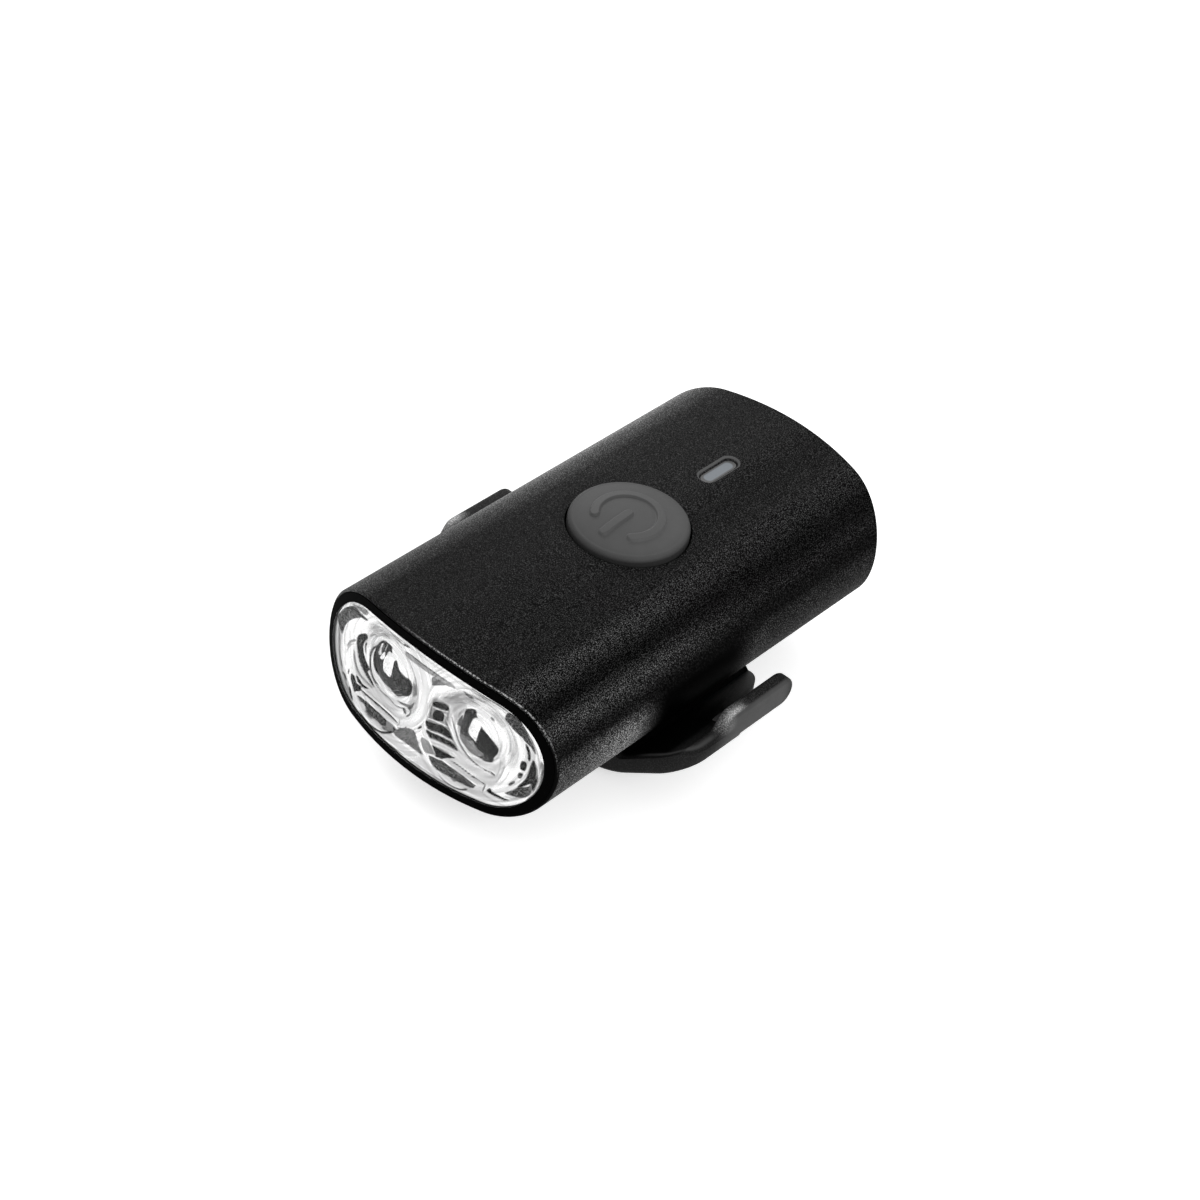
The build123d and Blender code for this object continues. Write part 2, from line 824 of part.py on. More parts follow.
# Charging socket on the rear edge of the main board, with its contact tongue
socket_width = 7.5
socket_height = 2.6
socket_length = 5.4
socket_mouth = 69.2
socket_z = main_top + socket_height / 2
socket_wall = 0.3
with BuildPart() as charge_socket:
    with BuildSketch(across(socket_mouth)):
        with Locations((0, socket_z)):
            RectangleRounded(socket_width, socket_height, 0.5)
            RectangleRounded(
                socket_width - 2 * socket_wall, socket_height - 2 * socket_wall, 0.3, mode=Mode.SUBTRACT
            )
    extrude(amount=socket_length)
    with BuildSketch(across(socket_mouth - socket_length)):
        with Locations((0, socket_z)):
            Rectangle(socket_width - 1, socket_height - 0.4)
    extrude(amount=-0.5)
finish(charge_socket.part, "charge_socket")
with BuildPart() as charge_tongue:
    with BuildSketch(across(socket_mouth - socket_length + 0.5)):
        with Locations((0, socket_z + 0.2)):
            Rectangle(4.0, 0.7)
    extrude(amount=-(socket_length - 1.3))
finish(charge_tongue.part, "charge_tongue")


# Rear cap: plastic plug in the rear rebate, with a pocket for the cover and two screw seats
cover_width = 13.0
cover_height = 6.6
cover_depth = 1.5
cover_side_gap = 0.3
cover_low = socket_z - 4.1
aperture_width = 8.8
aperture_height = 3.6
head_seat = 68.6
cap_depth = rebate_depth - gasket_thickness
cap_plate = tube_piece(oval(lip + fit_gap), end_slice(rear_end, 0, cap_depth))
cap_spigot = tube_piece(ring(wall + fit_gap, seat_inset), end_slice(rear_end, 1, 5.0))
rake = radians(rear_rake)
face_plane = Plane(
    origin=(0, rear_y + rake_rear * cover_low, up(cover_low)),
    x_dir=(-1, 0, 0),
    z_dir=(0, cos(rake), -sin(rake)),
)
with BuildPart() as cover_pocket:
    with BuildSketch(face_plane.offset(1)):
        with Locations((0, cover_height / 2 + 0.05)):
            RectangleRounded(cover_width + 2 * cover_side_gap, cover_height + 0.7, 1.6)
    extrude(amount=-(cover_depth + 1))
    with BuildSketch(face_plane.offset(1)):
        with Locations((0, cover_height + 0.4)):
            Circle(2.2)
    extrude(amount=-1.9)
with BuildPart() as rear_cap:
    add(cap_plate)
    add(cap_spigot)
    add(cover_pocket.part, mode=Mode.SUBTRACT)
    with BuildSketch(across(body_length + 5)):
        with Locations((0, socket_z)):
            RectangleRounded(aperture_width, aperture_height, 0.8)
    extrude(amount=12, mode=Mode.SUBTRACT)
    with BuildSketch(across(body_length + 5)):
        with Locations((-rear_screw_x, rear_screw_z), (rear_screw_x, rear_screw_z)):
            Circle(screw_shank + 0.1)
    extrude(amount=14, mode=Mode.SUBTRACT)
    with BuildSketch(across(head_seat)):
        with Locations((-rear_screw_x, rear_screw_z), (rear_screw_x, rear_screw_z)):
            Circle(2.1)
    extrude(amount=-8, mode=Mode.SUBTRACT)
finish(rear_cap.part, "rear_cap")

rear_gasket_ring = tube_piece(ring(lip + fit_gap, wall), end_slice(rear_end, cap_depth, rebate_depth))
with BuildPart() as rear_gasket:
    add(rear_gasket_ring)
finish(rear_gasket.part, "rear_gasket")

with BuildPart() as rear_cap_screws:
    for x in (-rear_screw_x, rear_screw_x):
        with BuildSketch(across(head_seat)):
            with Locations((x, rear_screw_z)):
                Circle(1.9)
        extrude(amount=-1.2)
        with BuildSketch(across(head_seat)):
            with Locations((x, rear_screw_z)):
                Circle(screw_shank)
        extrude(amount=5.8)
        with BuildSketch(across(head_seat + 1.2)):
            with Locations((x, rear_screw_z)):
                RegularPolygon(0.75, 6)
        extrude(amount=0.8, mode=Mode.SUBTRACT)
finish(rear_cap_screws.part, "rear_cap_screws")


# Rubber cover of the charging socket, hinged along its lower outer edge
cover_skin = end_slice(rear_end, 0.05, far)
plug_low = socket_z - 1.2 - cover_low
with BuildPart() as cover_blank:
    with BuildSketch(face_plane.offset(1)):
        with Locations((0, cover_height / 2)):
            RectangleRounded(cover_width, cover_height, 1.4)
    extrude(amount=-(cover_depth + 0.9))
    add(cover_skin, mode=Mode.INTERSECT)
with BuildPart() as charge_cover:
    add(cover_blank.part)
    with BuildSketch(face_plane.offset(-1)):
        with Locations((0, plug_low + 1.0)):
            RectangleRounded(7.4, 2.0, 0.6)
    extrude(amount=-1.4)
finish(charge_cover.part, "charge_cover")


# Base: winged plate under the tube, with a boss for the screws and an open hook on each side
wing_slope = 0.716
wing_inner_slope = 0.77
wing_bend = 15.0
wing_foot = hook_x + (base_bottom - hook_bottom) / wing_slope
wing_root_z = -10.9
wing_top_z = -3.1
wing_root = hook_x + (wing_root_z - wing_top_z) / wing_inner_slope
pad_half_width = 9.5
pad_front = 26.3
pad_rear = 47.7
tip_radius = (hook_top - hook_bottom) / 2
arm_top = -4.5
arm_inner = hook_x + (arm_top - wing_top_z) / wing_inner_slope
ramp_low = 28.6
ramp_high = 32.4
bar_front = 27.0
hook_inner = hook_x - hook_thickness
hook_rounding = 0.6
base_rounding = 0.7
body_solid = tube_piece(oval(0), end_slice(front_end, 0, far))
with BuildPart() as base_wings:
    with BuildSketch(across(base_front)):
        with BuildLine():
            FilletPolyline(
                (0, base_bottom), (wing_foot, base_bottom), (hook_x, hook_bottom), radius=wing_bend
            )
            Line((hook_x, hook_bottom), (hook_x, arm_top))
            Line((hook_x, arm_top), (arm_inner, arm_top))
            Line((arm_inner, arm_top), (wing_root, wing_root_z))
            Line((wing_root, wing_root_z), (0, wing_root_z))
            Line((0, wing_root_z), (0, base_bottom))
        make_face()
        mirror(about=Plane.YZ)
    extrude(amount=-(base_rear - base_front))
with BuildPart() as base_plan:
    with BuildSketch(Plane.XY):
        with BuildLine():
            FilletPolyline(
                (0, back(base_front)),
                (hook_x, back(base_front)),
                (hook_x, back(slot_front + slot_rounding)),
                radius=base_front_corner,
            )
            Line((hook_x, back(slot_front + slot_rounding)), (hook_inner, back(slot_front + slot_rounding)))
            ThreePointArc(
                (hook_inner, back(slot_front + slot_rounding)),
                ((hook_inner + slot_inner_x) / 2, back(slot_front)),
                (slot_inner_x, back(slot_front + slot_rounding)),
            )
            FilletPolyline(
                (slot_inner_x, back(slot_front + slot_rounding)),
                (slot_inner_x, back(base_rear)),
                (0, back(base_rear)),
                radius=base_rear_corner,
            )
            Line((0, back(base_rear)), (0, back(base_front)))
        make_face()
        mirror(about=Plane.YZ)
    extrude(amount=2 * axis_height)
hook_plane = Plane(origin=(hook_inner, 0, axis_height), x_dir=(0, 1, 0), z_dir=(1, 0, 0))
with BuildPart() as hook_bar:
    with BuildSketch(hook_plane):
        with BuildLine():
            Line((back(bar_front), hook_bottom), (back(hook_tip - tip_radius), hook_bottom))
            ThreePointArc(
                (back(hook_tip - tip_radius), hook_bottom),
                (back(hook_tip), (hook_top + hook_bottom) / 2),
                (back(hook_tip - tip_radius), hook_top),
            )
            Line((back(hook_tip - tip_radius), hook_top), (back(ramp_high), hook_top))
            Spline(
                (back(ramp_high), hook_top),
                (back((ramp_low + ramp_high) / 2), (hook_top + arm_top) / 2),
                (back(ramp_low), arm_top),
                tangents=((-1, 0), (-1, 0)),
            )
            Line((back(ramp_low), arm_top), (back(bar_front), arm_top))
            Line((back(bar_front), arm_top), (back(bar_front), hook_bottom))
        make_face()
    extrude(amount=hook_thickness)
    fillet(hook_bar.edges().group_by(Axis.X)[-1], radius=hook_rounding)
    fillet(hook_bar.edges().group_by(Axis.X)[0], radius=hook_rounding)
with BuildPart() as base_core:
    add(base_wings.part)
    add(base_plan.part, mode=Mode.INTERSECT)
    underside = base_core.faces().filter_by(lambda face: face.normal_at(face.center()).Z < -0.5)
    fillet(rim_edges(underside), radius=base_rounding)
with BuildPart() as mount_base:
    add(base_core.part)
    add(hook_bar.part)
    mirror(hook_bar.part, about=Plane.YZ)
    with BuildSketch(level(wing_root_z - 0.5)):
        with Locations((0, back(37.0))):
            RectangleRounded(17.0, 20.0, 3.0)
    extrude(amount=2.5)
    add(body_solid, mode=Mode.SUBTRACT)
    with BuildSketch(level(base_bottom)):
        with Locations((0, back((pad_front + pad_rear) / 2))):
            RectangleRounded(2 * pad_half_width + 0.2, pad_rear - pad_front + 0.2, 3.1)
    extrude(amount=pad_recess, mode=Mode.SUBTRACT)
    with BuildSketch(level(base_bottom)):
        with Locations(*[(0, back(place)) for place in mount_screw_backs]):
            Circle(mount_screw_radius + 0.15)
    extrude(amount=body_height, mode=Mode.SUBTRACT)
    with BuildSketch(level(base_bottom + pad_recess)):
        with Locations(*[(0, back(place)) for place in mount_screw_backs]):
            Circle(3.0)
    extrude(amount=1.8, mode=Mode.SUBTRACT)
finish(mount_base.part, "mount_base")


# Screws that hold the base, and the threaded plate inside the tube that they reach
head_low = base_bottom + pad_recess
with BuildPart() as mount_screws:
    for place in mount_screw_backs:
        with BuildSketch(level(head_low)):
            with Locations((0, back(place))):
                Circle(2.75)
                RegularPolygon(1.0, 6, mode=Mode.SUBTRACT)
        extrude(amount=1.2)
        with BuildSketch(level(head_low + 1.2)):
            with Locations((0, back(place))):
                Circle(2.75)
        extrude(amount=0.6)
        with BuildSketch(level(head_low + 1.8)):
            with Locations((0, back(place))):
                Circle(mount_screw_radius)
        extrude(amount=-6.6 - head_low - 1.8)
finish(mount_screws.part, "mount_screws")

nut_top = -6.55
inner_space = tube_piece(oval(wall + 0.02))
with BuildPart() as mount_nut_plate:
    with BuildSketch(level(-half_height)):
        with Locations((0, back(37.0))):
            RectangleRounded(16.0, 20.0, 2.0)
    extrude(amount=nut_top + half_height)
    add(inner_space, mode=Mode.INTERSECT)
    with BuildSketch(level(-half_height)):
        with Locations(*[(0, back(place)) for place in mount_screw_backs]):
            Circle(mount_screw_radius + 0.02)
    extrude(amount=half_height, mode=Mode.SUBTRACT)
finish(mount_nut_plate.part, "mount_nut_plate")


# Rubber pad under the base, with grooves across its flat face
groove_count = 5
groove_pitch = 3.6
with BuildPart() as grip_pad:
    with BuildSketch(Plane.XY):
        with Locations((0, back((pad_front + pad_rear) / 2))):
            RectangleRounded(2 * pad_half_width, pad_rear - pad_front, 3.0)
    extrude(amount=pad_thickness)
    with BuildSketch(Plane.XY):
        with Locations((0, back((pad_front + pad_rear) / 2))):
            with GridLocations(0, groove_pitch, 1, groove_count):
                Rectangle(2 * pad_half_width + 2, 0.9)
    extrude(amount=0.5, mode=Mode.SUBTRACT)
finish(grip_pad.part, "grip_pad")
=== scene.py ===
# %% [markdown]
# # A helmet light, from working model to finished object
# The real thing is a short oval aluminium tube. It has a clear twin-optic front, a rubber button and a
# small indicator on top, and a plastic base with two strap hooks below. Its working model is made
# already, so this lesson loads it as a fixed frame and gives every surface its finish. It works out
# new surfaces with numpy only where the plain solids are too plain.

# %% Load the working model
from math import asin, cos, pi, radians, sin, tan

import bmesh
import bpy
import numpy as np
from mathutils import Matrix, Vector


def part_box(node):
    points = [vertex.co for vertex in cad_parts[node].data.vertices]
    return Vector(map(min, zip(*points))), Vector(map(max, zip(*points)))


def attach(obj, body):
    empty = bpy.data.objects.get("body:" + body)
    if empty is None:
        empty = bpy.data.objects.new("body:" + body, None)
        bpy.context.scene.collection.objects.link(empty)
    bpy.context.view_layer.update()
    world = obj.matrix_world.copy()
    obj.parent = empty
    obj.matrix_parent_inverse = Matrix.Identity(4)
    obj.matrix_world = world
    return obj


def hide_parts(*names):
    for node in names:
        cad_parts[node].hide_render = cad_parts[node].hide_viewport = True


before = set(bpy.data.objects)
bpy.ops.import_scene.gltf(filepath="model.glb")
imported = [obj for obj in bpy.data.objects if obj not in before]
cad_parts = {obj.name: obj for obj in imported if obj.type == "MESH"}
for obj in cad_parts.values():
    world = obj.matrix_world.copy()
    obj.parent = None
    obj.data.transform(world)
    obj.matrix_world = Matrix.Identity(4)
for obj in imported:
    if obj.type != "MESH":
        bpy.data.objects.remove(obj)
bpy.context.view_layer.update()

# %% [markdown]
# ## Sizes
# Lengths in this file are millimetres from the middle line of the tube, and depths are millimetres
# behind its front face. The outer sizes come from the frame, so the new pieces can't drift away from
# the working model. The slant and the bow of the front face repeat how the tube is cut.

# %% Sizes from the frame
MM = 0.001
shell_low, shell_high = (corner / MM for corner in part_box("body_shell"))
half_width = shell_high.x
half_height = (shell_high.z - shell_low.z) / 2
axis_height = (shell_high.z + shell_low.z) / 2
side_radius = 9.6
front_rake = radians(4.9)
front_bow = 3.7
rim_chamfer = 0.2
front_y = shell_low.y + tan(front_rake) * (half_height - rim_chamfer)
bow_radius = (half_width**2 + front_bow**2) / (2 * front_bow)
print("front face at", round(front_y, 2), "middle line at", round(axis_height, 2))


# %% [markdown]
# ## Surfaces as grids
# A surface is a grid of points: one parameter runs along the rows, the other along the columns. The
# grid of each piece closes on itself, as a sock does when its toe and its mouth are sewn up. Points
# that fall together, at a pole or a seam, are merged, and then the faces are turned outwards.

# %% From a grid of points to a closed mesh
merge_distance = 0.0008


def closed_mesh(name, points):
    """A mesh from points[row, column] in mm, whose columns join up in a ring and whose ends close."""
    rows, columns = points.shape[:2]
    corner = np.arange(rows * columns).reshape(rows, columns)
    near = corner[:-1]
    far = corner[1:]
    faces = np.stack([near, np.roll(near, -1, 1), np.roll(far, -1, 1), far], axis=-1).reshape(-1, 4)
    mesh = bpy.data.meshes.new(name)
    mesh.from_pydata((points.reshape(-1, 3) * MM).tolist(), [], faces.tolist())
    work = bmesh.new()
    work.from_mesh(mesh)
    bmesh.ops.remove_doubles(work, verts=work.verts, dist=merge_distance * MM)
    bmesh.ops.dissolve_degenerate(work, edges=work.edges, dist=merge_distance * MM / 8)
    bmesh.ops.recalc_face_normals(work, faces=work.faces)
    work.to_mesh(mesh)
    work.free()
    mesh.shade_smooth()
    piece = bpy.data.objects.new(name, mesh)
    bpy.context.scene.collection.objects.link(piece)
    print(name, len(mesh.vertices), "points", len(mesh.polygons), "faces")
    return piece


def mesh_points(mesh):
    """Every vertex of a mesh as rows of x, y, z in mm."""
    flat = np.empty(len(mesh.vertices) * 3, np.float32)
    mesh.vertices.foreach_get("co", flat)
    return flat.reshape(-1, 3).astype(float) / MM


def store(mesh, name, values):
    """Keep one number for each vertex under this name, for a material to read."""
    mesh.attributes.new(name, "FLOAT", "POINT").data.foreach_set("value", values.astype(np.float32))

# %% [markdown]
# ## Soft steps
# Hardly anything on a moulded part begins or ends abruptly. A smooth S between two places rounds an
# edge, and the same S blends one tone into the next, so one helper serves both.

# %% Soft steps
def step(value, start, end):
    """0 before start, 1 after end, and a smooth S between them; start may lie above end."""
    t = np.clip((value - start) / (end - start), 0.0, 1.0)
    return t * t * (3.0 - 2.0 * t)


def mixed(under, over, cover):
    """The value under, with over laid on it where cover is 1."""
    return under + (over - under) * cover


# %% [markdown]
# ## The oval and the front face
# The tube's outline is two round sides joined by a low crown above and below. A ring of points on it
# is found from the direction of the outline's normal, because both kinds of arc are simple in that
# angle. The front face is raked back at the top and bowed back to both sides on a circle.

# %% The oval outline and places behind the front face
def oval_rim(inset, crown_count, side_count):
    """Ring of points on the oval, drawn in by inset: x and z = arc centre + radius * (sin, cos) of the
    normal's angle, first the crown, then the right side, the underside and the left side."""
    a = half_width - inset
    b = half_height - inset
    r = side_radius - inset
    side = a - r
    crown = (side**2 + b**2 - r**2) / (2 * (b - r))
    tilt = asin(side / (crown - r))
    over = np.linspace(-tilt, tilt, crown_count, endpoint=False)
    round_side = np.linspace(tilt, pi - tilt, side_count, endpoint=False)
    x = np.concatenate([crown * np.sin(over), side + r * np.sin(round_side)])
    z = np.concatenate([b - crown + crown * np.cos(over), r * np.cos(round_side)])
    return np.concatenate([x, -x]), np.concatenate([z, -z]), side


def sag(x):
    """How far the bowed front lies back at x: the drop of a circle."""
    return bow_radius - np.sqrt(bow_radius**2 - x**2)


def behind_front(x, z, depth):
    """Points at x and z from the middle line and this depth behind the front face."""
    y = front_y + (sag(x) + depth) / cos(front_rake) + z * tan(front_rake)
    return np.stack([x, y, axis_height + z], axis=-1)


def oval_field(inset, crown_count, side_count, ring_count):
    """x and z over the whole oval, row by row outwards from its middle line to its rim, and how far
    each point lies inside the rim."""
    x, z, side = oval_rim(inset, crown_count, side_count)
    spine = np.clip(x * side / np.abs(x[:1]), -side, side)
    share = np.linspace(0.0, 1.0, ring_count)[:, None]
    return spine + share * (x - spine), share * z, (1 - share) * np.hypot(x - spine, z)


# %% [markdown]
# ## The optics
# Behind the window sits one clear moulding with many small forms: a round cup and a raised lens for
# each emitter, a web between them, louvres, pockets and ledges. Nearly all of its brightness comes
# from these forms catching light. It is made in two steps. The broad shape, a rim that slopes in and
# two cups, is a depth formula. The small forms are outlines on a flat layout of the front: each has
# a tone of painted light and shade, standing for the highlights and reflections of that form, and a
# dark one is also pressed in a little. The moulding and both lenses read the same layout, so a form
# runs on from one piece to the next.

# %% Broad shape of the moulding
lens_x = 7.8
lens_z = -0.3
lens_radius = 3.8
cup_outer = 7.2
rim_depth = -0.16
face_depth = 0.5
floor_depth = 2.6
lens_front = 1.9
rim_slope = 1.5


def moulding_depth(x, z, inward):
    """Depth: from the rim down to the face over the first 1.5 mm, and down again into each cup."""
    depth = mixed(rim_depth, face_depth, step(inward, 0.0, rim_slope))
    for middle in (-lens_x, lens_x):
        fall = np.clip((cup_outer - np.hypot(x - middle, z - lens_z)) / (cup_outer - lens_radius), 0.0, 1.0)
        fall = (fall + step(fall, 0.0, 1.0)) / 2
        depth = np.maximum(depth, mixed(face_depth, floor_depth, fall) * (fall > 0))
    return depth


# %% [markdown]
# ## Drawing on the layout
# The layout is a flat sheet just behind the window. Every point of the moulding is carried to it
# along one slanted line, so deep and shallow points can share one outline. The slant is the camera's, so
# a form shows where it was drawn. An outline is rounded first: between its corners runs a smooth curve
# that passes through each of them.

# %% Places on the layout and rounded outlines
draw_x = 0.734
draw_z = 1.054
curve_steps = 4


def laid_out(x, z, depth):
    """Place on the layout of points at this depth."""
    return x + draw_x * (depth - face_depth), z + draw_z * (depth - face_depth)


def rounded(corners, closed):
    """Three more points on a smooth cubic between every two corners."""
    b = np.array(corners)
    if closed:
        a, c, d = np.roll(b, 1, 0), np.roll(b, -1, 0), np.roll(b, -2, 0)
    else:
        whole = np.concatenate([b[:1], b, b[-1:]])
        a, b, c, d = whole[:-3], whole[1:-2], whole[2:-1], whole[3:]
    t = np.linspace(0, 1, curve_steps, endpoint=False)[:, None, None]
    curve = b + t / 2 * (c - a + t * (2 * a - 5 * b + 4 * c - d + t * (3 * (b - c) + d - a)))
    points = curve.transpose(1, 0, 2).reshape(-1, 2)
    return points if closed else np.concatenate([points, c[-1:]])


# %% Laying forms over each other
far_off = 99.0
stroke_edge = 0.07
tip_width = 0.35


def beside(u, w, x0, z0, run_x, run_z):
    """For each place, the nearest point of a straight piece as a share of its length, and how far off
    it is."""
    t = np.clip(((u - x0) * run_x + (w - z0) * run_z) / (run_x**2 + run_z**2 + 1e-12), 0.0, 1.0)
    return t, np.hypot(u - x0 - t * run_x, w - z0 - t * run_z)


def area(u, w, corners, width):
    """1 inside a closed outline, with an edge of this width; a point inside crosses the outline an odd
    number of times on its way to the right."""
    away = np.full_like(u, far_off)
    inside = np.zeros(u.shape, bool)
    points = rounded(corners, True)
    for (x0, z0), (x1, z1) in zip(points, np.roll(points, -1, 0)):
        run_x, run_z = x1 - x0, z1 - z0
        away = np.minimum(away, beside(u, w, x0, z0, run_x, run_z)[1])
        if run_z:
            inside ^= ((z0 > w) != (z1 > w)) & (u < x0 + (w - z0) * run_x / run_z)
    return step(np.where(inside, -away, away), width / 2, -width / 2)


def stroke(u, w, corners, width):
    """1 on a brush stroke through the corners, thinner towards both of its ends."""
    away = np.full_like(u, far_off)
    points = rounded(corners, False)
    pieces = len(points) - 1
    for number, ((x0, z0), (x1, z1)) in enumerate(zip(points[:-1], points[1:])):
        t, distance = beside(u, w, x0, z0, x1 - x0, z1 - z0)
        along = (number + t) / pieces
        half = width / 2 * np.clip(tip_width + 4 * along * (1 - along), 0.0, 1.0)
        away = np.minimum(away, distance - half)
    return step(away, stroke_edge, -stroke_edge)


# %% [markdown]
# ## The small forms
# On the real moulding these are pockets, steps, ribs and the bent images of them in the lenses. Each
# could be modelled and left to refraction, but that needs the exact depths, which nobody can see. So
# they are drawn as outlines with a tone, in the order in which they cover each other. A row
# gives the kind, the tone from 0 (dark) to 1 (bright), the width in mm of the outline's soft edge or of
# the stroke, and the corners as x and height on a drawing grid of 0.05 mm.

# %% Collecting the forms
forms = []


def draw(place, rows):
    """Lay these forms over the ones before."""
    forms.extend(rows)
    print(len(forms), "forms after the", place)


# %% Forms: left end
# the rim, the bright band beside it and the dark facets above
draw("left end", [
    (area, 0.72, 0.4, ((-374, 21), (-393, -12), (-393, -45), (-382, -84), (-360, -119), (-338, -145),
        (-306, -167), (-258, -186), (-214, -197), (-219, -175), (-249, -162), (-271, -138),
        (-288, -125), (-308, -114), (-319, -95), (-332, -71), (-339, -40), (-344, -12), (-364, 6))),
    (stroke, 0.52, 0.35, ((-358, -1), (-348, -34), (-343, -58), (-331, -82), (-314, -102))),
    (stroke, 0.58, 0.3, ((-338, -116), (-312, -130), (-288, -143), (-266, -153))),
    (area, 0.99, 0.3, ((-335, 16), (-323, 42), (-297, 71), (-271, 88), (-245, 101), (-214, 103),
        (-199, 92), (-223, 79), (-245, 64), (-262, 51), (-271, 38), (-279, 21), (-282, -23),
        (-279, -62), (-288, -93), (-301, -97), (-314, -88), (-327, -62), (-335, -23))),
    (stroke, 0.8, 0.35, ((-323, 34), (-328, 8), (-326, -19), (-319, -36))),
    (stroke, 0.62, 0.3, ((-279, 17), (-297, -1), (-312, -29))),
    (stroke, 0.72, 0.22, ((-288, -1), (-303, -23), (-308, -47))),
    (stroke, 0.86, 0.3, ((-316, -36), (-314, -62), (-306, -88))),
    (area, 0.5, 0.25, ((-316, 108), (-297, 122), (-275, 132), (-249, 139), (-244, 133), (-250, 120),
        (-271, 113), (-297, 110))),
    (stroke, 0.8, 0.12, ((-308, 112), (-288, 123), (-260, 131))),
    (stroke, 0.85, 0.1, ((-365, 42), (-353, 64), (-338, 85), (-319, 104), (-297, 120), (-271, 133),
        (-245, 142))),
    (area, 0.36, 0.12, ((-365, 34), (-356, 51), (-338, 76), (-319, 87), (-297, 97), (-269, 102),
        (-279, 90), (-301, 70), (-314, 54), (-327, 36), (-336, 14), (-342, -12), (-356, -1), (-369, 15),
        (-371, 23))),
    (stroke, 0.47, 0.22, ((-318, 79), (-321, 58))),
    (area, 0.14, 0.12, ((-337, 77), (-316, 98), (-299, 108), (-275, 108), (-241, 111), (-253, 104),
        (-275, 97), (-297, 95), (-319, 86))),
    (stroke, 0.42, 0.1, ((-314, 96), (-292, 104), (-269, 106))),
    (stroke, 0.28, 0.35, ((-309, -112), (-299, -114), (-289, -122))),
])

# %% Forms: left cup
# the dark crescent of its wall and the bright ones on both sides
draw("left cup", [
    (area, 0.62, 0.25, ((-279, -16), (-266, -41), (-249, -58), (-223, -66), (-179, -66), (-192, -72),
        (-225, -73), (-249, -68), (-269, -51), (-279, -34))),
    (area, 0.2, 0.14, ((-244, 63), (-260, 51), (-274, 34), (-274, 10), (-265, -14), (-252, -34),
        (-233, -47), (-208, -58), (-179, -65), (-199, -50), (-217, -39), (-211, -27), (-229, -16),
        (-242, -1), (-249, 16), (-248, 31), (-237, 51))),
    (stroke, 0.38, 0.25, ((-258, 34), (-262, 16), (-258, -1))),
    (stroke, 0.95, 0.12, ((-229, 64), (-244, 40), (-247, 21), (-240, 0), (-225, -16), (-213, -26))),
    (stroke, 0.4, 0.3, ((-238, 38), (-242, 23), (-236, 5))),
    (area, 0.98, 0.15, ((-208, 77), (-196, 89), (-205, 68), (-215, 47), (-220, 23), (-219, 3),
        (-215, -14), (-225, -10), (-233, 5), (-236, 23), (-235, 40), (-225, 60))),
    (stroke, 0.6, 0.18, ((-204, 90), (-219, 79), (-229, 66))),
    (stroke, 0.28, 0.3, ((-198, 60), (-213, 38), (-218, 18), (-216, -3), (-209, -23), (-198, -37),
        (-182, -46), (-163, -46))),
    (stroke, 0.97, 0.16, ((-209, 31), (-211, 14), (-207, -8), (-196, -26), (-179, -37), (-160, -41))),
    (area, 0.96, 0.2, ((-192, -19), (-171, -23), (-149, -26), (-123, -25), (-105, -29), (-88, -27),
        (-62, -5), (-49, 12), (-40, 8), (-53, -14), (-75, -29), (-97, -42), (-123, -48), (-153, -48),
        (-179, -42), (-197, -29))),
])

# %% Forms: left lens
# a bright column and field over the dark inside
draw("left lens", [
    (area, 0.18, 0.12, ((-152, 99), (-175, 93), (-191, 76), (-202, 51), (-207, 25), (-204, 3),
        (-192, -14), (-171, -20), (-149, -24), (-123, -23), (-97, -28), (-74, -12), (-56, 1), (-48, 21),
        (-51, 42), (-64, 51), (-84, 51), (-105, 71), (-118, 86), (-136, 96))),
    (area, 0.27, 0.15, ((-118, 71), (-101, 53), (-84, 47), (-64, 51), (-51, 42), (-49, 21), (-57, 1),
        (-79, -10), (-97, -8), (-123, -1), (-125, 34), (-123, 55))),
    (area, 0.98, 0.14, ((-140, 96), (-105, 87), (-84, 71), (-67, 51), (-86, 49), (-101, 54), (-109, 63),
        (-116, 72), (-124, 64), (-125, 42), (-128, 11), (-142, 8), (-158, 11), (-163, 29), (-162, 47),
        (-156, 62), (-149, 79), (-137, 82))),
    (stroke, 0.84, 0.22, ((-134, 94), (-105, 87), (-84, 73), (-64, 52))),
    (area, 0.92, 0.12, ((-182, 80), (-171, 83), (-174, 64), (-178, 45), (-190, 41), (-187, 62))),
    (stroke, 0.2, 0.2, ((-173, 87), (-178, 55))),
    (area, 0.92, 0.12, ((-168, 62), (-162, 64), (-162, 47), (-171, 36), (-180, 35), (-176, 46))),
    (stroke, 0.85, 0.14, ((-159, 94), (-165, 68))),
    (stroke, 0.55, 0.12, ((-117, -26), (-88, -4))),
    (stroke, 0.65, 0.12, ((-105, -28), (-75, -9))),
])

# %% Forms: below the left lens
# where the cup meets the web
draw("underside of the left lens", [
    (stroke, 0.42, 0.14, ((-201, -42), (-177, -52), (-149, -56), (-123, -54), (-97, -57), (-75, -51),
        (-62, -44), (-53, -45))),
    (area, 0.42, 0.12, ((-91, -39), (-62, -28), (-42, -19), (-30, 1), (-35, -23), (-40, -36),
        (-53, -32), (-71, -38))),
    (stroke, 0.95, 0.12, ((-84, -36), (-57, -24), (-40, -12))),
    (stroke, 0.25, 0.35, ((-64, -45), (-53, -54))),
    (stroke, 0.5, 0.22, ((-37, -29), (-39, -47), (-49, -60))),
    (area, 0.88, 0.3, ((-179, -61), (-84, -60), (-62, -69), (-71, -82), (-171, -79))),
])

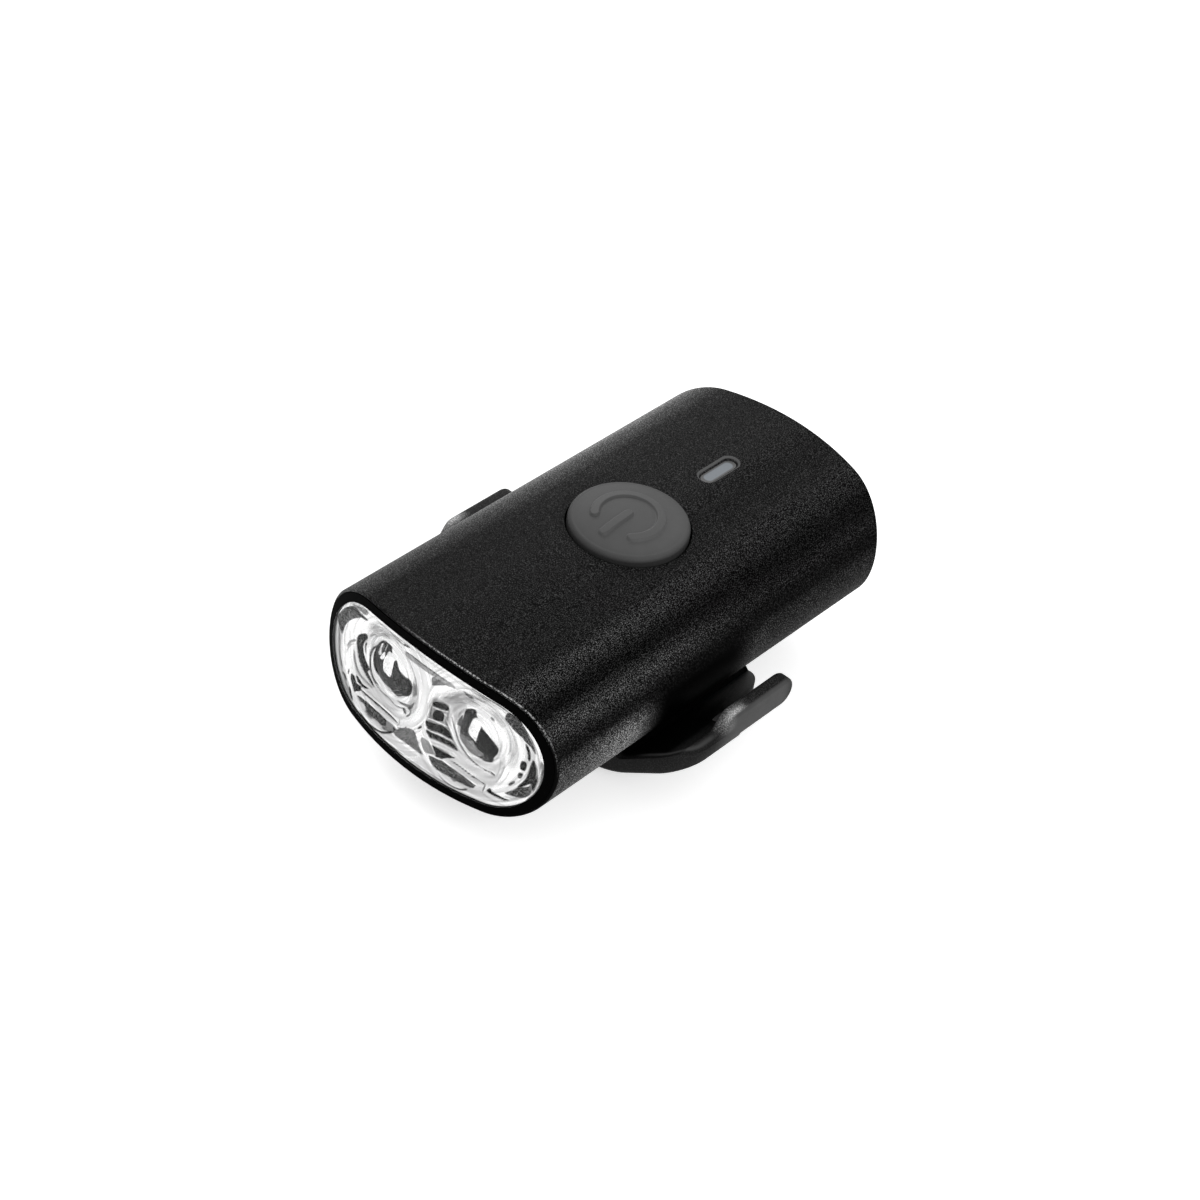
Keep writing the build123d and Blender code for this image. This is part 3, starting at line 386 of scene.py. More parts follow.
# %% Forms: left ledge
# a groove with dark hollows at its outer end
draw("left ledge", [
    (area, 0.1, 0.12, ((-258, -76), (-240, -81), (-223, -85), (-200, -81), (-219, -93), (-238, -94),
        (-249, -88))),
    (stroke, 0.97, 0.26, ((-253, -81), (-271, -77), (-280, -88), (-282, -106), (-275, -119),
        (-258, -133), (-245, -140))),
    (area, 0.12, 0.12, ((-273, -88), (-262, -87), (-253, -95), (-245, -99), (-230, -95), (-227, -107),
        (-240, -120), (-249, -128), (-260, -119), (-271, -108), (-275, -97))),
    (stroke, 0.4, 0.1, ((-262, -110), (-258, -102), (-248, -100))),
    (stroke, 0.97, 0.18, ((-260, -81), (-245, -96), (-229, -94))),
    (stroke, 0.95, 0.25, ((-248, -132), (-238, -121), (-225, -112))),
    (stroke, 0.97, 0.2, ((-223, -96), (-171, -93), (-79, -90))),
    (stroke, 0.62, 0.1, ((-201, -90), (-149, -87), (-84, -84))),
    (stroke, 0.2, 0.28, ((-242, -106), (-192, -103), (-149, -99), (-105, -97), (-74, -98))),
    (area, 0.97, 0.12, ((-228, -118), (-214, -111), (-149, -108), (-74, -106), (-73, -118),
        (-149, -118), (-214, -124))),
    (stroke, 0.2, 0.45, ((-272, -131), (-262, -143), (-251, -155))),
    (stroke, 0.4, 0.2, ((-289, -100), (-286, -84))),
])

# %% Forms: left pocket
# a flat top and a bowed bottom
draw("left pocket", [
    (area, 0.97, 0.2, ((-245, -132), (-223, -137), (-203, -139), (-188, -151), (-171, -156),
        (-140, -149), (-121, -151), (-149, -168), (-182, -171), (-214, -163), (-240, -147))),
    (area, 0.34, 0.14, ((-235, -130), (-214, -123), (-171, -119), (-108, -119), (-111, -137),
        (-127, -145), (-153, -145), (-174, -153), (-188, -147), (-203, -136), (-223, -136))),
    (area, 0.56, 0.12, ((-109, -118), (-74, -116), (-83, -133), (-105, -148), (-125, -150),
        (-111, -137))),
    (stroke, 0.3, 0.3, ((-86, -124), (-78, -123))),
    (stroke, 0.25, 0.28, ((-216, -164), (-201, -171), (-175, -175), (-145, -171), (-118, -162),
        (-97, -147), (-81, -132), (-73, -118))),
    (stroke, 0.3, 0.16, ((-71, -113), (-46, -98), (-42, -88))),
    (stroke, 0.7, 0.16, ((-69, -81), (-67, -95), (-73, -108))),
])

# %% Forms: top slot
# the slot and the marks along the top edge
draw("top slot", [
    (area, 0.62, 0.12, ((-86, 121), (-75, 128), (25, 129), (80, 129), (80, 116), (25, 115),
        (-79, 112))),
    (stroke, 0.35, 0.14, ((-84, 122), (-71, 127), (-18, 128), (25, 128), (58, 127))),
    (stroke, 0.38, 0.15, ((-149, 139), (-127, 138), (-97, 138))),
    (stroke, 0.25, 0.22, ((-97, 139), (-75, 146))),
    (stroke, 0.62, 0.16, ((-172, 140), (-155, 135))),
    (stroke, 0.82, 0.25, ((-214, 116), (-171, 115))),
])

# %% Forms: web
# its bright arm and the facets beside it
draw("web", [
    (area, 0.47, 0.2, ((-80, -136), (-49, -97), (-15, -82), (1, -101), (14, -121), (25, -134),
        (-28, -136))),
    (stroke, 0.38, 0.2, ((133, 149), (168, 146), (201, 144), (223, 141), (244, 136))),
    (area, 0.5, 0.12, ((14, 112), (44, 116), (56, 114), (26, 92), (17, 88))),
    (area, 0.42, 0.12, ((113, 128), (145, 128), (136, 121), (123, 122))),
    (stroke, 0.99, 0.9, ((94, 116), (59, 101), (29, 79))),
    (area, 0.78, 0.3, ((49, 68), (77, 90), (103, 102), (96, 79), (81, 66))),
    (stroke, 0.6, 0.12, ((59, 75), (81, 86))),
    (stroke, 0.55, 0.4, ((205, 100), (212, 97))),
])

# %% Forms: louvres
# four dark gaps and a wedge between bright blades, on a greyer ground
draw("louvres", [
    (area, 0.6, 0.7, ((26, 50), (78, 58), (86, 22), (102, -12), (124, -52), (92, -88), (66, -104),
        (40, -76), (22, -36))),
    (area, 0.18, 0.12, ((29, 37), (35, 46), (55, 55), (68, 59), (79, 56), (79, 46), (66, 40), (44, 33),
        (31, 31))),
    (stroke, 0.95, 0.16, ((29, 26), (59, 33), (80, 42))),
    (area, 0.15, 0.12, ((39, 20), (59, 31), (69, 22), (69, 6), (64, 1), (42, -8), (35, -1))),
    (stroke, 0.97, 0.22, ((68, 30), (79, 25))),
    (stroke, 0.55, 0.14, ((26, 10), (32, -12))),
    (stroke, 0.97, 0.18, ((21, -17), (44, -10), (70, -5), (87, -3))),
    (area, 0.2, 0.12, ((18, -26), (44, -19), (70, -10), (90, -12), (100, -21), (105, -31), (70, -34),
        (44, -42), (27, -45), (18, -36))),
    (stroke, 0.97, 0.16, ((18, -47), (38, -49), (64, -41), (103, -36), (114, -39))),
    (area, 0.22, 0.12, ((23, -54), (59, -47), (86, -42), (112, -42), (131, -54), (103, -54), (70, -60),
        (44, -66), (32, -63))),
    (area, 0.94, 0.2, ((38, -70), (81, -61), (138, -58), (125, -74), (81, -78), (44, -85))),
    (stroke, 0.7, 0.12, ((46, -77), (81, -69), (120, -64))),
    (area, 0.17, 0.12, ((47, -89), (81, -84), (124, -80), (103, -93), (90, -104), (75, -111),
        (65, -110))),
    (stroke, 0.96, 0.2, ((26, 34), (20, -1), (16, -23), (16, -45), (26, -64), (44, -84), (65, -107))),
    (area, 0.6, 0.12, ((13, -86), (25, -82), (40, -84), (53, -97), (62, -108), (46, -117), (33, -121),
        (24, -115), (16, -102))),
    (stroke, 0.97, 0.22, ((-8, -72), (5, -93), (20, -117), (34, -130))),
    (stroke, 0.15, 0.2, ((-2, -66), (8, -53))),
])

# %% Forms: right pocket
# the mirror of the left one, with its ledge
draw("right pocket", [
    (area, 0.97, 0.15, ((42, -120), (70, -114), (103, -108), (168, -114), (203, -123), (199, -140),
        (168, -153), (157, -162), (125, -165), (94, -161), (64, -151), (46, -138))),
    (area, 0.38, 0.12, ((46, -123), (70, -117), (94, -113), (146, -117), (192, -126), (194, -130),
        (186, -141), (157, -146), (103, -148), (70, -147), (53, -136))),
    (stroke, 0.5, 0.14, ((125, -119), (146, -124), (168, -127))),
    (stroke, 0.38, 0.22, ((86, -160), (107, -169), (136, -170), (159, -163), (179, -150))),
    (stroke, 0.2, 0.18, ((112, -95), (146, -97), (190, -105), (219, -108))),
    (stroke, 0.98, 0.15, ((228, -101), (220, -136))),
    (stroke, 0.45, 0.15, ((222, -108), (217, -132))),
    (stroke, 0.7, 0.14, ((210, -138), (244, -146), (281, -147))),
    (area, 0.12, 0.1, ((228, -126), (235, -113), (244, -121), (277, -123), (290, -121), (277, -129),
        (244, -130))),
])

# %% Forms: right cup
# bright and dark rings round the lens
draw("right cup", [
    (area, 0.8, 0.25, ((90, 77), (103, 91), (125, 100), (132, 86), (129, 60), (116, 21), (103, 34),
        (88, 55))),
    (stroke, 0.55, 0.12, ((94, 79), (112, 92), (133, 103))),
    (stroke, 0.98, 0.25, ((74, 20), (94, -1), (125, -36), (151, -58), (179, -65), (212, -69),
        (241, -71))),
    (stroke, 0.95, 0.14, ((89, 60), (99, 34), (112, 3), (129, -19), (153, -40), (179, -51), (212, -51),
        (237, -45))),
    (stroke, 0.22, 0.2, ((93, 34), (107, 8), (125, -21), (146, -41), (173, -56), (203, -63),
        (236, -62))),
    (stroke, 0.3, 0.3, ((231, -62), (242, -66))),
    (area, 0.4, 0.15, ((114, 29), (116, 42), (124, 60), (127, 42), (129, 29), (123, 23), (114, 23))),
    (stroke, 0.97, 0.12, ((124, 64), (131, 42), (136, 22))),
    (stroke, 0.75, 0.1, ((219, 74), (233, 54), (244, 31), (245, 1), (235, -23))),
])

# %% Forms: right lens
# the same picture as in the left one, seen from further aside
draw("right lens", [
    (area, 0.3, 0.12, ((157, 97), (140, 91), (130, 79), (127, 51), (125, 21), (128, -1), (143, -21),
        (164, -34), (190, -36), (212, -31), (231, -15), (240, 8), (238, 23), (223, 34), (190, 51),
        (181, 60), (168, 82))),
    (area, 0.62, 0.2, ((126, -1), (146, 5), (168, -1), (181, -14), (203, -19), (192, -32), (168, -36),
        (146, -24), (132, -14))),
    (area, 0.97, 0.12, ((161, 89), (181, 89), (207, 82), (227, 65), (240, 40), (243, 22), (223, 33),
        (201, 46), (183, 59), (168, 77))),
    (area, 0.27, 0.12, ((131, 80), (142, 91), (157, 97), (162, 85), (157, 72), (152, 60), (146, 23),
        (139, 20), (134, 40), (129, 64))),
    (area, 0.97, 0.12, ((157, 70), (168, 77), (182, 68), (181, 51), (177, 34), (175, 6), (164, 9),
        (151, 16), (148, 29), (151, 51))),
    (area, 0.19, 0.14, ((183, 52), (203, 44), (218, 34), (237, 20), (239, 3), (229, -12), (212, -12),
        (190, -15), (179, -2), (176, 11), (179, 34))),
    (stroke, 0.35, 0.3, ((133, 12), (146, 1), (159, -1))),
    (area, 0.3, 0.12, ((203, -37), (214, -27), (231, -15), (232, -27), (216, -36))),
    (stroke, 0.97, 0.2, ((186, -41), (212, -41), (233, -32))),
])

# %% Forms: right end
# bright crescent, dark crescents and the rim
draw("right end", [
    (area, 0.99, 0.2, ((238, 82), (255, 98), (281, 83), (295, 60), (299, 21), (299, -19), (288, -53),
        (273, -79), (255, -105), (241, -110), (251, -77), (262, -45), (264, -12), (255, 21),
        (245, 51))),
    (stroke, 0.8, 0.14, ((251, -1), (253, -34), (249, -62))),
    (stroke, 0.72, 0.14, ((264, -23), (258, -58), (247, -88))),
    (stroke, 0.8, 0.14, ((277, -36), (270, -62), (255, -93))),
    (area, 0.33, 0.12, ((243, 136), (262, 134), (277, 129), (294, 112), (312, 92), (325, 68), (330, 50),
        (318, 63), (299, 75), (288, 83), (268, 92), (249, 105), (237, 115))),
    (stroke, 0.15, 0.22, ((244, 134), (262, 131), (277, 122))),
    (stroke, 0.95, 0.45, ((280, 127), (299, 110), (321, 81), (336, 55), (343, 34))),
    (stroke, 0.2, 0.36, ((303, 67), (314, 47), (319, 23))),
    (area, 0.2, 0.1, ((301, 12), (314, 12), (314, -11), (301, -12))),
    (stroke, 0.97, 0.32, ((302, -19), (314, -20))),
    (stroke, 0.97, 0.18, ((303, 34), (309, 21))),
    (area, 0.35, 0.12, ((300, -26), (311, -25), (307, -41), (299, -40))),
    (area, 0.17, 0.12, ((330, 30), (341, 8), (347, -19), (347, -40), (341, -65), (334, -45), (321, -58),
        (304, -70), (318, -40), (323, -14), (325, 12))),
    (stroke, 0.75, 0.1, ((334, 31), (342, 6), (344, -23))),
    (area, 0.34, 0.12, ((329, -57), (334, -47), (338, -63), (334, -84), (318, -99), (299, -104),
        (274, -106), (294, -86), (307, -69))),
    (stroke, 0.96, 0.14, ((319, 21), (316, -12), (309, -49), (294, -79), (277, -101), (262, -114))),
    (stroke, 0.3, 0.3, ((294, -58), (281, -77))),
    (area, 0.52, 0.2, ((347, 34), (359, 16), (364, -12), (362, -45), (352, -75), (338, -97), (331, -99),
        (342, -66), (349, -45), (350, -14), (346, 12))),
    (stroke, 0.95, 0.12, ((349, 12), (352, -19), (350, -49), (340, -77), (321, -108), (299, -127),
        (277, -139))),
    (stroke, 0.8, 0.25, ((277, -116), (312, -108))),
    (stroke, 0.62, 0.2, ((-28, -176), (38, -175), (125, -173))),
    (stroke, 0.62, 0.2, ((-210, -186), (-136, -184), (-28, -176))),
])


# %% [markdown]
# ## From forms to tone
# A plain bright ground comes first, then every form in its turn. Last come speckles on the dark forms
# and faint rings of light round each lens: they stand for detail too fine to be drawn.

# %% Tone of the layout
steps_per_mm = 20
plain_tone = 0.915
streak_centres = (-6.6, 8.4)
streak_height = 1.4
margin = 0.3
lattice = 64
print("forms", len(forms), "corners", sum(len(form[3]) for form in forms))


def painted(u, w):
    """Tone from 0 to 1: every form laid on in its turn, each worked out only near its outline."""
    tone = np.full_like(u, plain_tone)
    for shape, value, width, steps in forms:
        corners = np.array(steps) / steps_per_mm
        low = np.min(corners, axis=0) - width - margin
        high = np.max(corners, axis=0) + width + margin
        near = np.nonzero((u > low[0]) & (u < high[0]) & (w > low[1]) & (w < high[1]))[0]
        tone[near] = mixed(tone[near], value, shape(u[near], w[near], corners, width))
    return tone


def cloud(u, w, seed):
    """Smooth random values from 0 to 1 on a square lattice one unit apart."""
    values = np.random.default_rng(seed).random((lattice, lattice))
    i, j = np.floor(u).astype(int), np.floor(w).astype(int)
    s, t = step(u - i, 0.0, 1.0), step(w - j, 0.0, 1.0)
    row = [
        mixed(values[(i + k) % lattice, j % lattice], values[(i + k) % lattice, (j + 1) % lattice], t)
        for k in (0, 1)
    ]
    return mixed(row[0], row[1], s)


# %% Texture of the layout
web_middle = 0.6
ring_pitch = 0.22
grain_pitch = 0.17


def textured(tone, u, w):
    """Speckles on the dark forms and fine rings of light round each lens on the bright ones."""
    side = np.where(u < web_middle, *streak_centres)
    away = np.hypot(u - side, w - streak_height)
    angle = np.arctan2(w - streak_height, u - side)
    rings = cloud(away / ring_pitch, angle / 0.5 + 9.0, 1) - 0.5
    grain = cloud(u / grain_pitch, w / grain_pitch, 2) - 0.5
    dark = step(tone, 0.7, 0.3)
    return np.clip(tone + 0.24 * rings * (1 - dark) + (0.16 * grain - 0.02) * dark, 0.01, 1.0)


# %% [markdown]
# ## The moulding itself
# It is one closed surface: the front rows carry the broad shape and the pressed forms, and a few rows
# behind them make a plain back. The tone is stored on its points, so the finish can read it.

# %% Build the moulding
moulding_inset = 1.64
back_depth = 3.1
back_row_step = 14
pressed = 0.12
field_x, field_z, field_inward = oval_field(moulding_inset, crown_count=300, side_count=170, ring_count=88)
flat_x, flat_z = field_x.ravel(), field_z.ravel()
flat_depth = moulding_depth(flat_x, flat_z, field_inward.ravel())
flat_depth += pressed * (1 - painted(*laid_out(flat_x, flat_z, flat_depth)))
front_rows = behind_front(field_x, field_z, flat_depth.reshape(field_x.shape))
back_x, back_z = field_x[::-back_row_step], field_z[::-back_row_step]
back_rows = behind_front(back_x, back_z, np.full_like(back_x, back_depth))
optic_moulding = closed_mesh("optic_moulding", np.concatenate([front_rows, back_rows]))


def depth_of(points):
    """Depth behind the front face of points in mm, the inverse of behind_front."""
    x, y, z = points[:, 0], points[:, 1], points[:, 2] - axis_height
    return (y - front_y - z * tan(front_rake)) * cos(front_rake) - sag(x), x, z


def tone_layout(piece):
    """Store the layout's tone on every point of a piece."""
    depth, x, z = depth_of(mesh_points(piece.data))
    u, w = laid_out(x, z, depth)
    store(piece.data, "tone", textured(painted(u, w), u, w))


tone_layout(optic_moulding)

# %% [markdown]
# ## The raised lenses
# Each emitter shines through a raised round lens in the middle of its cup. It is a shallow dome turned
# about its own axis: depth is a parabola of the distance from the axis, and the back is flat.

# %% Build the two lenses
ring_steps = 200
dome_rows = 60


def lens_dome(name, middle):
    """Dome: depth = lens_front + drop * (distance / radius) squared, closed by a flat back."""
    turn = np.linspace(0, 2 * pi, ring_steps, endpoint=False)
    # the last three rows are the wall and the flat back
    away = np.concatenate([np.linspace(0, 1, dome_rows), [1.0, 0.6, 0.0]])
    drop = np.concatenate([np.linspace(0, 1, dome_rows) ** 2, [1.1, 1.1, 1.1]])
    x = middle + lens_radius * away[:, None] * np.cos(turn)
    z = lens_z + lens_radius * away[:, None] * np.sin(turn)
    depth = lens_front + (floor_depth - lens_front) * drop[:, None] + 0 * x
    piece = closed_mesh(name, behind_front(x, z, depth))
    tone_layout(piece)
    return piece


lens_left = lens_dome("lens_left", -lens_x)
lens_right = lens_dome("lens_right", lens_x)

# %% [markdown]
# ## The window
# The window is a thin clear shell that follows the bow of the front. Two sheets of the same grid, one
# just behind the other, make it a closed body.

# %% Build the window
window_inset = 1.62
window_outer = -0.42
window_inner = -0.18
window_x, window_z, window_inward = oval_field(window_inset, crown_count=90, side_count=60, ring_count=14)
edge_drop = 0.08 * step(window_inward, 0.7, 0.0)
window_front = behind_front(window_x, window_z, edge_drop + window_outer)
window_back = behind_front(window_x[::-1], window_z[::-1], np.full_like(window_x, window_inner))
front_glass = closed_mesh("front_glass", np.concatenate([window_front, window_back]))

# %% [markdown]
# ## The button
# The button is one piece of soft rubber, turned about an upright axis: a low dome, a rounded edge, a
# side wall, a flange that keeps it in the tube, and a boss below that presses the switch. Its raised
# sign can't be turned, so the top takes a second step: a soft ridge is added wherever a point is close
# to the sign's middle line.

# %% Profile of the button
button_radius = 8.15
button_middle = front_y + 37.6
shoulder = half_height + 1.0
crown = 1.1
round_over = 0.8
face_radius = button_radius - round_over
dome_radius = (face_radius**2 + crown**2) / (2 * crown)
sign_radius = 4.4
sign_half_width = 0.7
sign_height = 0.28
sign_forward = 0.4
sign_gap = radians(48)
sign_bar = 4.8
face_rows = 96
edge_rows = 8


def button_profile():
    """Distance from the axis and height of each row: dome, quarter round, then the plain walls."""
    away = np.linspace(0, face_radius, face_rows)
    top = shoulder + crown - dome_radius + np.sqrt(dome_radius**2 - away**2)
    turn = np.linspace(0, pi / 2, edge_rows + 1)[1:]
    edge_away = face_radius + round_over * np.sin(turn)
    edge = shoulder - round_over + round_over * np.cos(turn)
    walls = np.array([
        (button_radius, 8.1), (8.25, 8.0), (9.3, 8.0), (9.3, 7.2), (6.75, 7.2), (6.75, 9.8),
        (2.4, 9.8), (2.0, 7.7), (0.0, 7.7),
    ])
    return np.concatenate([away, edge_away, walls[:, 0]]), np.concatenate([top, edge, walls[:, 1]])


def sign_distance(x, y):
    """Distance to the sign's middle line: an open ring, its two ends, and a bar through the gap."""
    y = y + sign_forward
    away = np.hypot(x, y)
    angle = np.arctan2(y, x)
    in_gap = np.abs(np.mod(angle + pi / 2 + pi, 2 * pi) - pi) < sign_gap
    ends = [(sign_radius * sin(sign_gap) * side, -sign_radius * cos(sign_gap)) for side in (-1, 1)]
    to_end = np.minimum(*(np.hypot(x - ex, y - ey) for ex, ey in ends))
    ring = np.where(in_gap, to_end, np.abs(away - sign_radius))
    bar = np.hypot(x, y - np.clip(y, -sign_bar, 0.0))
    return np.minimum(ring, bar)


# %% Build the button
button_columns = 300
turn = np.linspace(0, 2 * pi, button_columns, endpoint=False)
profile_away, profile_height = button_profile()
button_x = profile_away[:, None] * np.cos(turn)
button_y = profile_away[:, None] * np.sin(turn)
ridge = sign_height * step(sign_distance(button_x, button_y), sign_half_width + 0.06, sign_half_width - 0.22)
ridge[face_rows:] = 0.0
button_z = profile_height[:, None] + ridge
button_points = np.stack([button_x, button_middle + button_y, axis_height + button_z], axis=-1)
button_cap = closed_mesh("button_cap", button_points)
spots = mesh_points(button_cap.data)
store(button_cap.data, "sign", step(sign_distance(spots[:, 0], spots[:, 1] - button_middle), 0.95, 0.55))


# %% [markdown]
# ## Softened edges
# Moulded plastic never has a knife edge. The base is right as a solid, but its edges are sharp, so a
# merged copy of it gets a narrow bevel, and the copy stands for the node.

# %% A copy with rounded edges
edge_width = 0.28
edge_angle = radians(32)
merged_within = 0.002
flat_within = radians(0.6)


def softened(node, name):
    """Merged copy of a node: flat areas become one face each, and a bevel rounds what is left."""
    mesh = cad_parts[node].data.copy()
    mesh.name = name
    work = bmesh.new()
    work.from_mesh(mesh)
    bmesh.ops.remove_doubles(work, verts=work.verts, dist=merged_within * MM)
    bmesh.ops.dissolve_limit(work, angle_limit=flat_within, verts=work.verts, edges=work.edges)
    work.to_mesh(mesh)
    work.free()
    mesh.shade_smooth()
    piece = bpy.data.objects.new(name, mesh)
    bpy.context.scene.collection.objects.link(piece)
    bevel = piece.modifiers.new("edge", "BEVEL")
    bevel.width = edge_width * MM
    bevel.segments = 2
    bevel.limit_method = "ANGLE"
    bevel.angle_limit = edge_angle
    bevel.harden_normals = True
    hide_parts(node)
    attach(piece, "light")
    print(name, "faces before the bevel", len(mesh.polygons))
    return piece


base = softened("mount_base", "strap_base")

# %% [markdown]
# ## Which body carries each piece
# The optics, the window and the base stay with the tube. The button moves on its own body, so its new
# surface rides there and presses down with it.

# %% Carry the new pieces
for piece, node, body in (
    (optic_moulding, "optic_plate", "light"),
    (front_glass, "front_window", "light"),
    (button_cap, "power_button", "button"),
):
    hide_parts(node)
    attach(piece, body)
    print(piece.name, "stands for", node, "and rides on the", body)
for piece, node in ((lens_left, "collimator_left"), (lens_right, "collimator_right")):
    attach(piece, "light")


# %% [markdown]
# ## Writing materials as sums
# A material is a small network of nodes. Written as arithmetic it is easier to read: a wire is one
# output, sums on wires add Math nodes, and one method adds any other node.

# %% The wire
class Wire:
    """One output in a material's network; sums and products of wires add their Math nodes."""

    def __init__(self, tree, socket=None):
        self.tree = tree
        self.socket = socket

    def add(self, kind, settings=None, inputs=None, output=0):
        """Any node: its settings are made first, then each input gets its value or its wire."""
        node = self.tree.nodes.new(kind)
        for key, value in (settings or {}).items():
            if key == "stops":
                for number, (place, colour) in enumerate(value):
                    elements = node.color_ramp.elements
                    stop = elements[number] if number < 2 else elements.new(place)
                    stop.position = place
                    stop.color = colour
            else:
                setattr(node, key, value)
        for key, value in (inputs or {}).items():
            if isinstance(value, Wire):
                self.tree.links.new(value.socket, node.inputs[key])
            else:
                node.inputs[key].default_value = value
        return Wire(self.tree, node.outputs[output])

    def sum(self, operation, first, second=0.0):
        """One Math node."""
        return self.add("ShaderNodeMath", {"operation": operation}, {0: first, 1: second})

    def __add__(self, other):
        return self.sum("ADD", self, other)

    def __radd__(self, other):
        return self.sum("ADD", other, self)

    def __sub__(self, other):
        return self.sum("SUBTRACT", self, other)

    def __rsub__(self, other):
        return self.sum("SUBTRACT", other, self)

    def __mul__(self, other):
        return self.sum("MULTIPLY", self, other)

    def __rmul__(self, other):
        return self.sum("MULTIPLY", other, self)

    def __truediv__(self, other):
        return self.sum("DIVIDE", self, other)

    def __pow__(self, other):
        return self.sum("POWER", self, other)

    def __abs__(self):
        return self.sum("ABSOLUTE", self)

    def above(self, other):
        """The larger of this wire and another value."""
        return self.sum("MAXIMUM", self, other)

    def below(self, other):
        """The smaller of this wire and another value."""
        return self.sum("MINIMUM", self, other)

    def soft(self, start, end):
        """0 before start, 1 after end, and a smooth S between them."""
        settings = {"interpolation_type": "SMOOTHSTEP"}
        return self.add("ShaderNodeMapRange", settings, {"Value": self, "From Min": start, "From Max": end})

    def colours(self, first, second):
        """The first colour where this wire is 0 and the second where it is 1."""
        return self.add("ShaderNodeMix", {"data_type": "RGBA"}, {0: self, 6: first, 7: second}, 2)


# %% [markdown]
# ## One workshop for all finishes
# Every finish starts from the same bench: the place on the object, a noise to call on, and one
# Principled shader. What varies over a surface feeds its colour, roughness or bump. What is the same
# all over is set on the shader itself. Where a finish changes from one place to another, the numbers are
# millimetres: x from the middle, y back from the front face, z up from the tube's middle line.

# %% The bench
class Bench:
    """A new material with its shader, and the wires that most finishes begin with."""

    def __init__(self, name, **constants):
        self.material = bpy.data.materials.new(name)
        self.material.use_nodes = True
        self.tree = self.material.node_tree
        self.tree.nodes.clear()
        self.wire = Wire(self.tree)
        self.shader = self.tree.nodes.new("ShaderNodeBsdfPrincipled")
        output = self.tree.nodes.new("ShaderNodeOutputMaterial")
        self.tree.links.new(self.shader.outputs[0], output.inputs[0])
        for key, value in constants.items():
            self.shader.inputs[key.replace("_", " ")].default_value = value
        place = self.wire.add("ShaderNodeTexCoord", output="Object")
        inputs = {
            "Vector": place, "Scale": (1 / MM, 1 / MM, 1 / MM), "Location": (0.0, -front_y, -axis_height),
        }
        self.place = self.wire.add("ShaderNodeMapping", inputs=inputs)
        parts = self.tree.nodes.new("ShaderNodeSeparateXYZ")
        self.tree.links.new(self.place.socket, parts.inputs[0])
        self.x, self.y, self.z = (Wire(self.tree, parts.outputs[i]) for i in range(3))

    def noise(self, pitch, detail=2.0, rough=0.5):
        """Cloudy noise from 0 to 1 whose blobs are about pitch millimetres across."""
        inputs = {"Vector": self.place, "Scale": 1 / pitch, "Detail": detail, "Roughness": rough}
        return self.wire.add("ShaderNodeTexNoise", inputs=inputs)

    def scaled(self, colour, factor):
        """A colour made darker or lighter by a factor."""
        return self.wire.add("ShaderNodeVectorMath", {"operation": "SCALE"}, {0: colour, "Scale": factor})

    def attribute(self, name):
        """A number that was stored on the mesh."""
        return self.wire.add("ShaderNodeAttribute", {"attribute_name": name}, output="Fac")

    def feed(self, **wires):
        """Connect wires to the shader's inputs; height, in millimetres, becomes a bump."""
        height = wires.pop("height", None)
        for key, wire in wires.items():
            self.tree.links.new(wire.socket, self.shader.inputs[key.replace("_", " ")])
        if height is not None:
            bump = self.wire.add("ShaderNodeBump", inputs={"Height": height, "Distance": MM, "Strength": 1.0})
            self.tree.links.new(bump.socket, self.shader.inputs["Normal"])
        return self.material


def grey(value, tint=0.0):
    """A neutral colour; a tint above 0 is bluish, below 0 is warm."""
    return (value * (1 - tint), value, value * (1 + tint), 1.0)


# %% [markdown]
# ## Anodised aluminium
# The tube is blasted with glass beads and anodised black. Beads leave a field of tiny dents, so the
# surface is satin and glints: a few dents face the lamp at any time. In the photo it also shows long
# soft bands along the tube and a dark patch above the base. Those are reflections of the studio there,
# which the plain light of this scene doesn't make, so the finish carries them. The bands depend only
# on the place round the section: a colour ramp over that place gives them, one for the front end and
# one for the rear. They end below, where both sides meet in one tone. The cut front edge glints pale,
# as bare metal does where the colour is cut away.

# %% Places on the tube
def around_section(bench):
    """Millimetres from the middle of the crown, along it and round the side; left is negative."""
    flat = half_width - side_radius
    beyond = (abs(bench.x) - flat).above(0.0)
    turned = side_radius * beyond.sum("ARCTAN2", beyond, bench.z)
    return (abs(bench.x).below(flat) + turned) * bench.x.sum("SIGN", bench.x)


def behind_face(bench):
    """Millimetres behind the bowed and raked front face."""
    bowed = bow_radius - (bow_radius**2 - bench.x * bench.x) ** 0.5
    return (bench.y - bench.z * tan(front_rake)) * cos(front_rake) - bowed


indicator_back = 56.0


def from_indicator(bench, half_length):
    """Distance from a line of this half length along the middle of the indicator."""
    beyond = (abs(bench.y - indicator_back) - half_length).above(0.0)
    return (beyond * beyond + bench.x * bench.x) ** 0.5
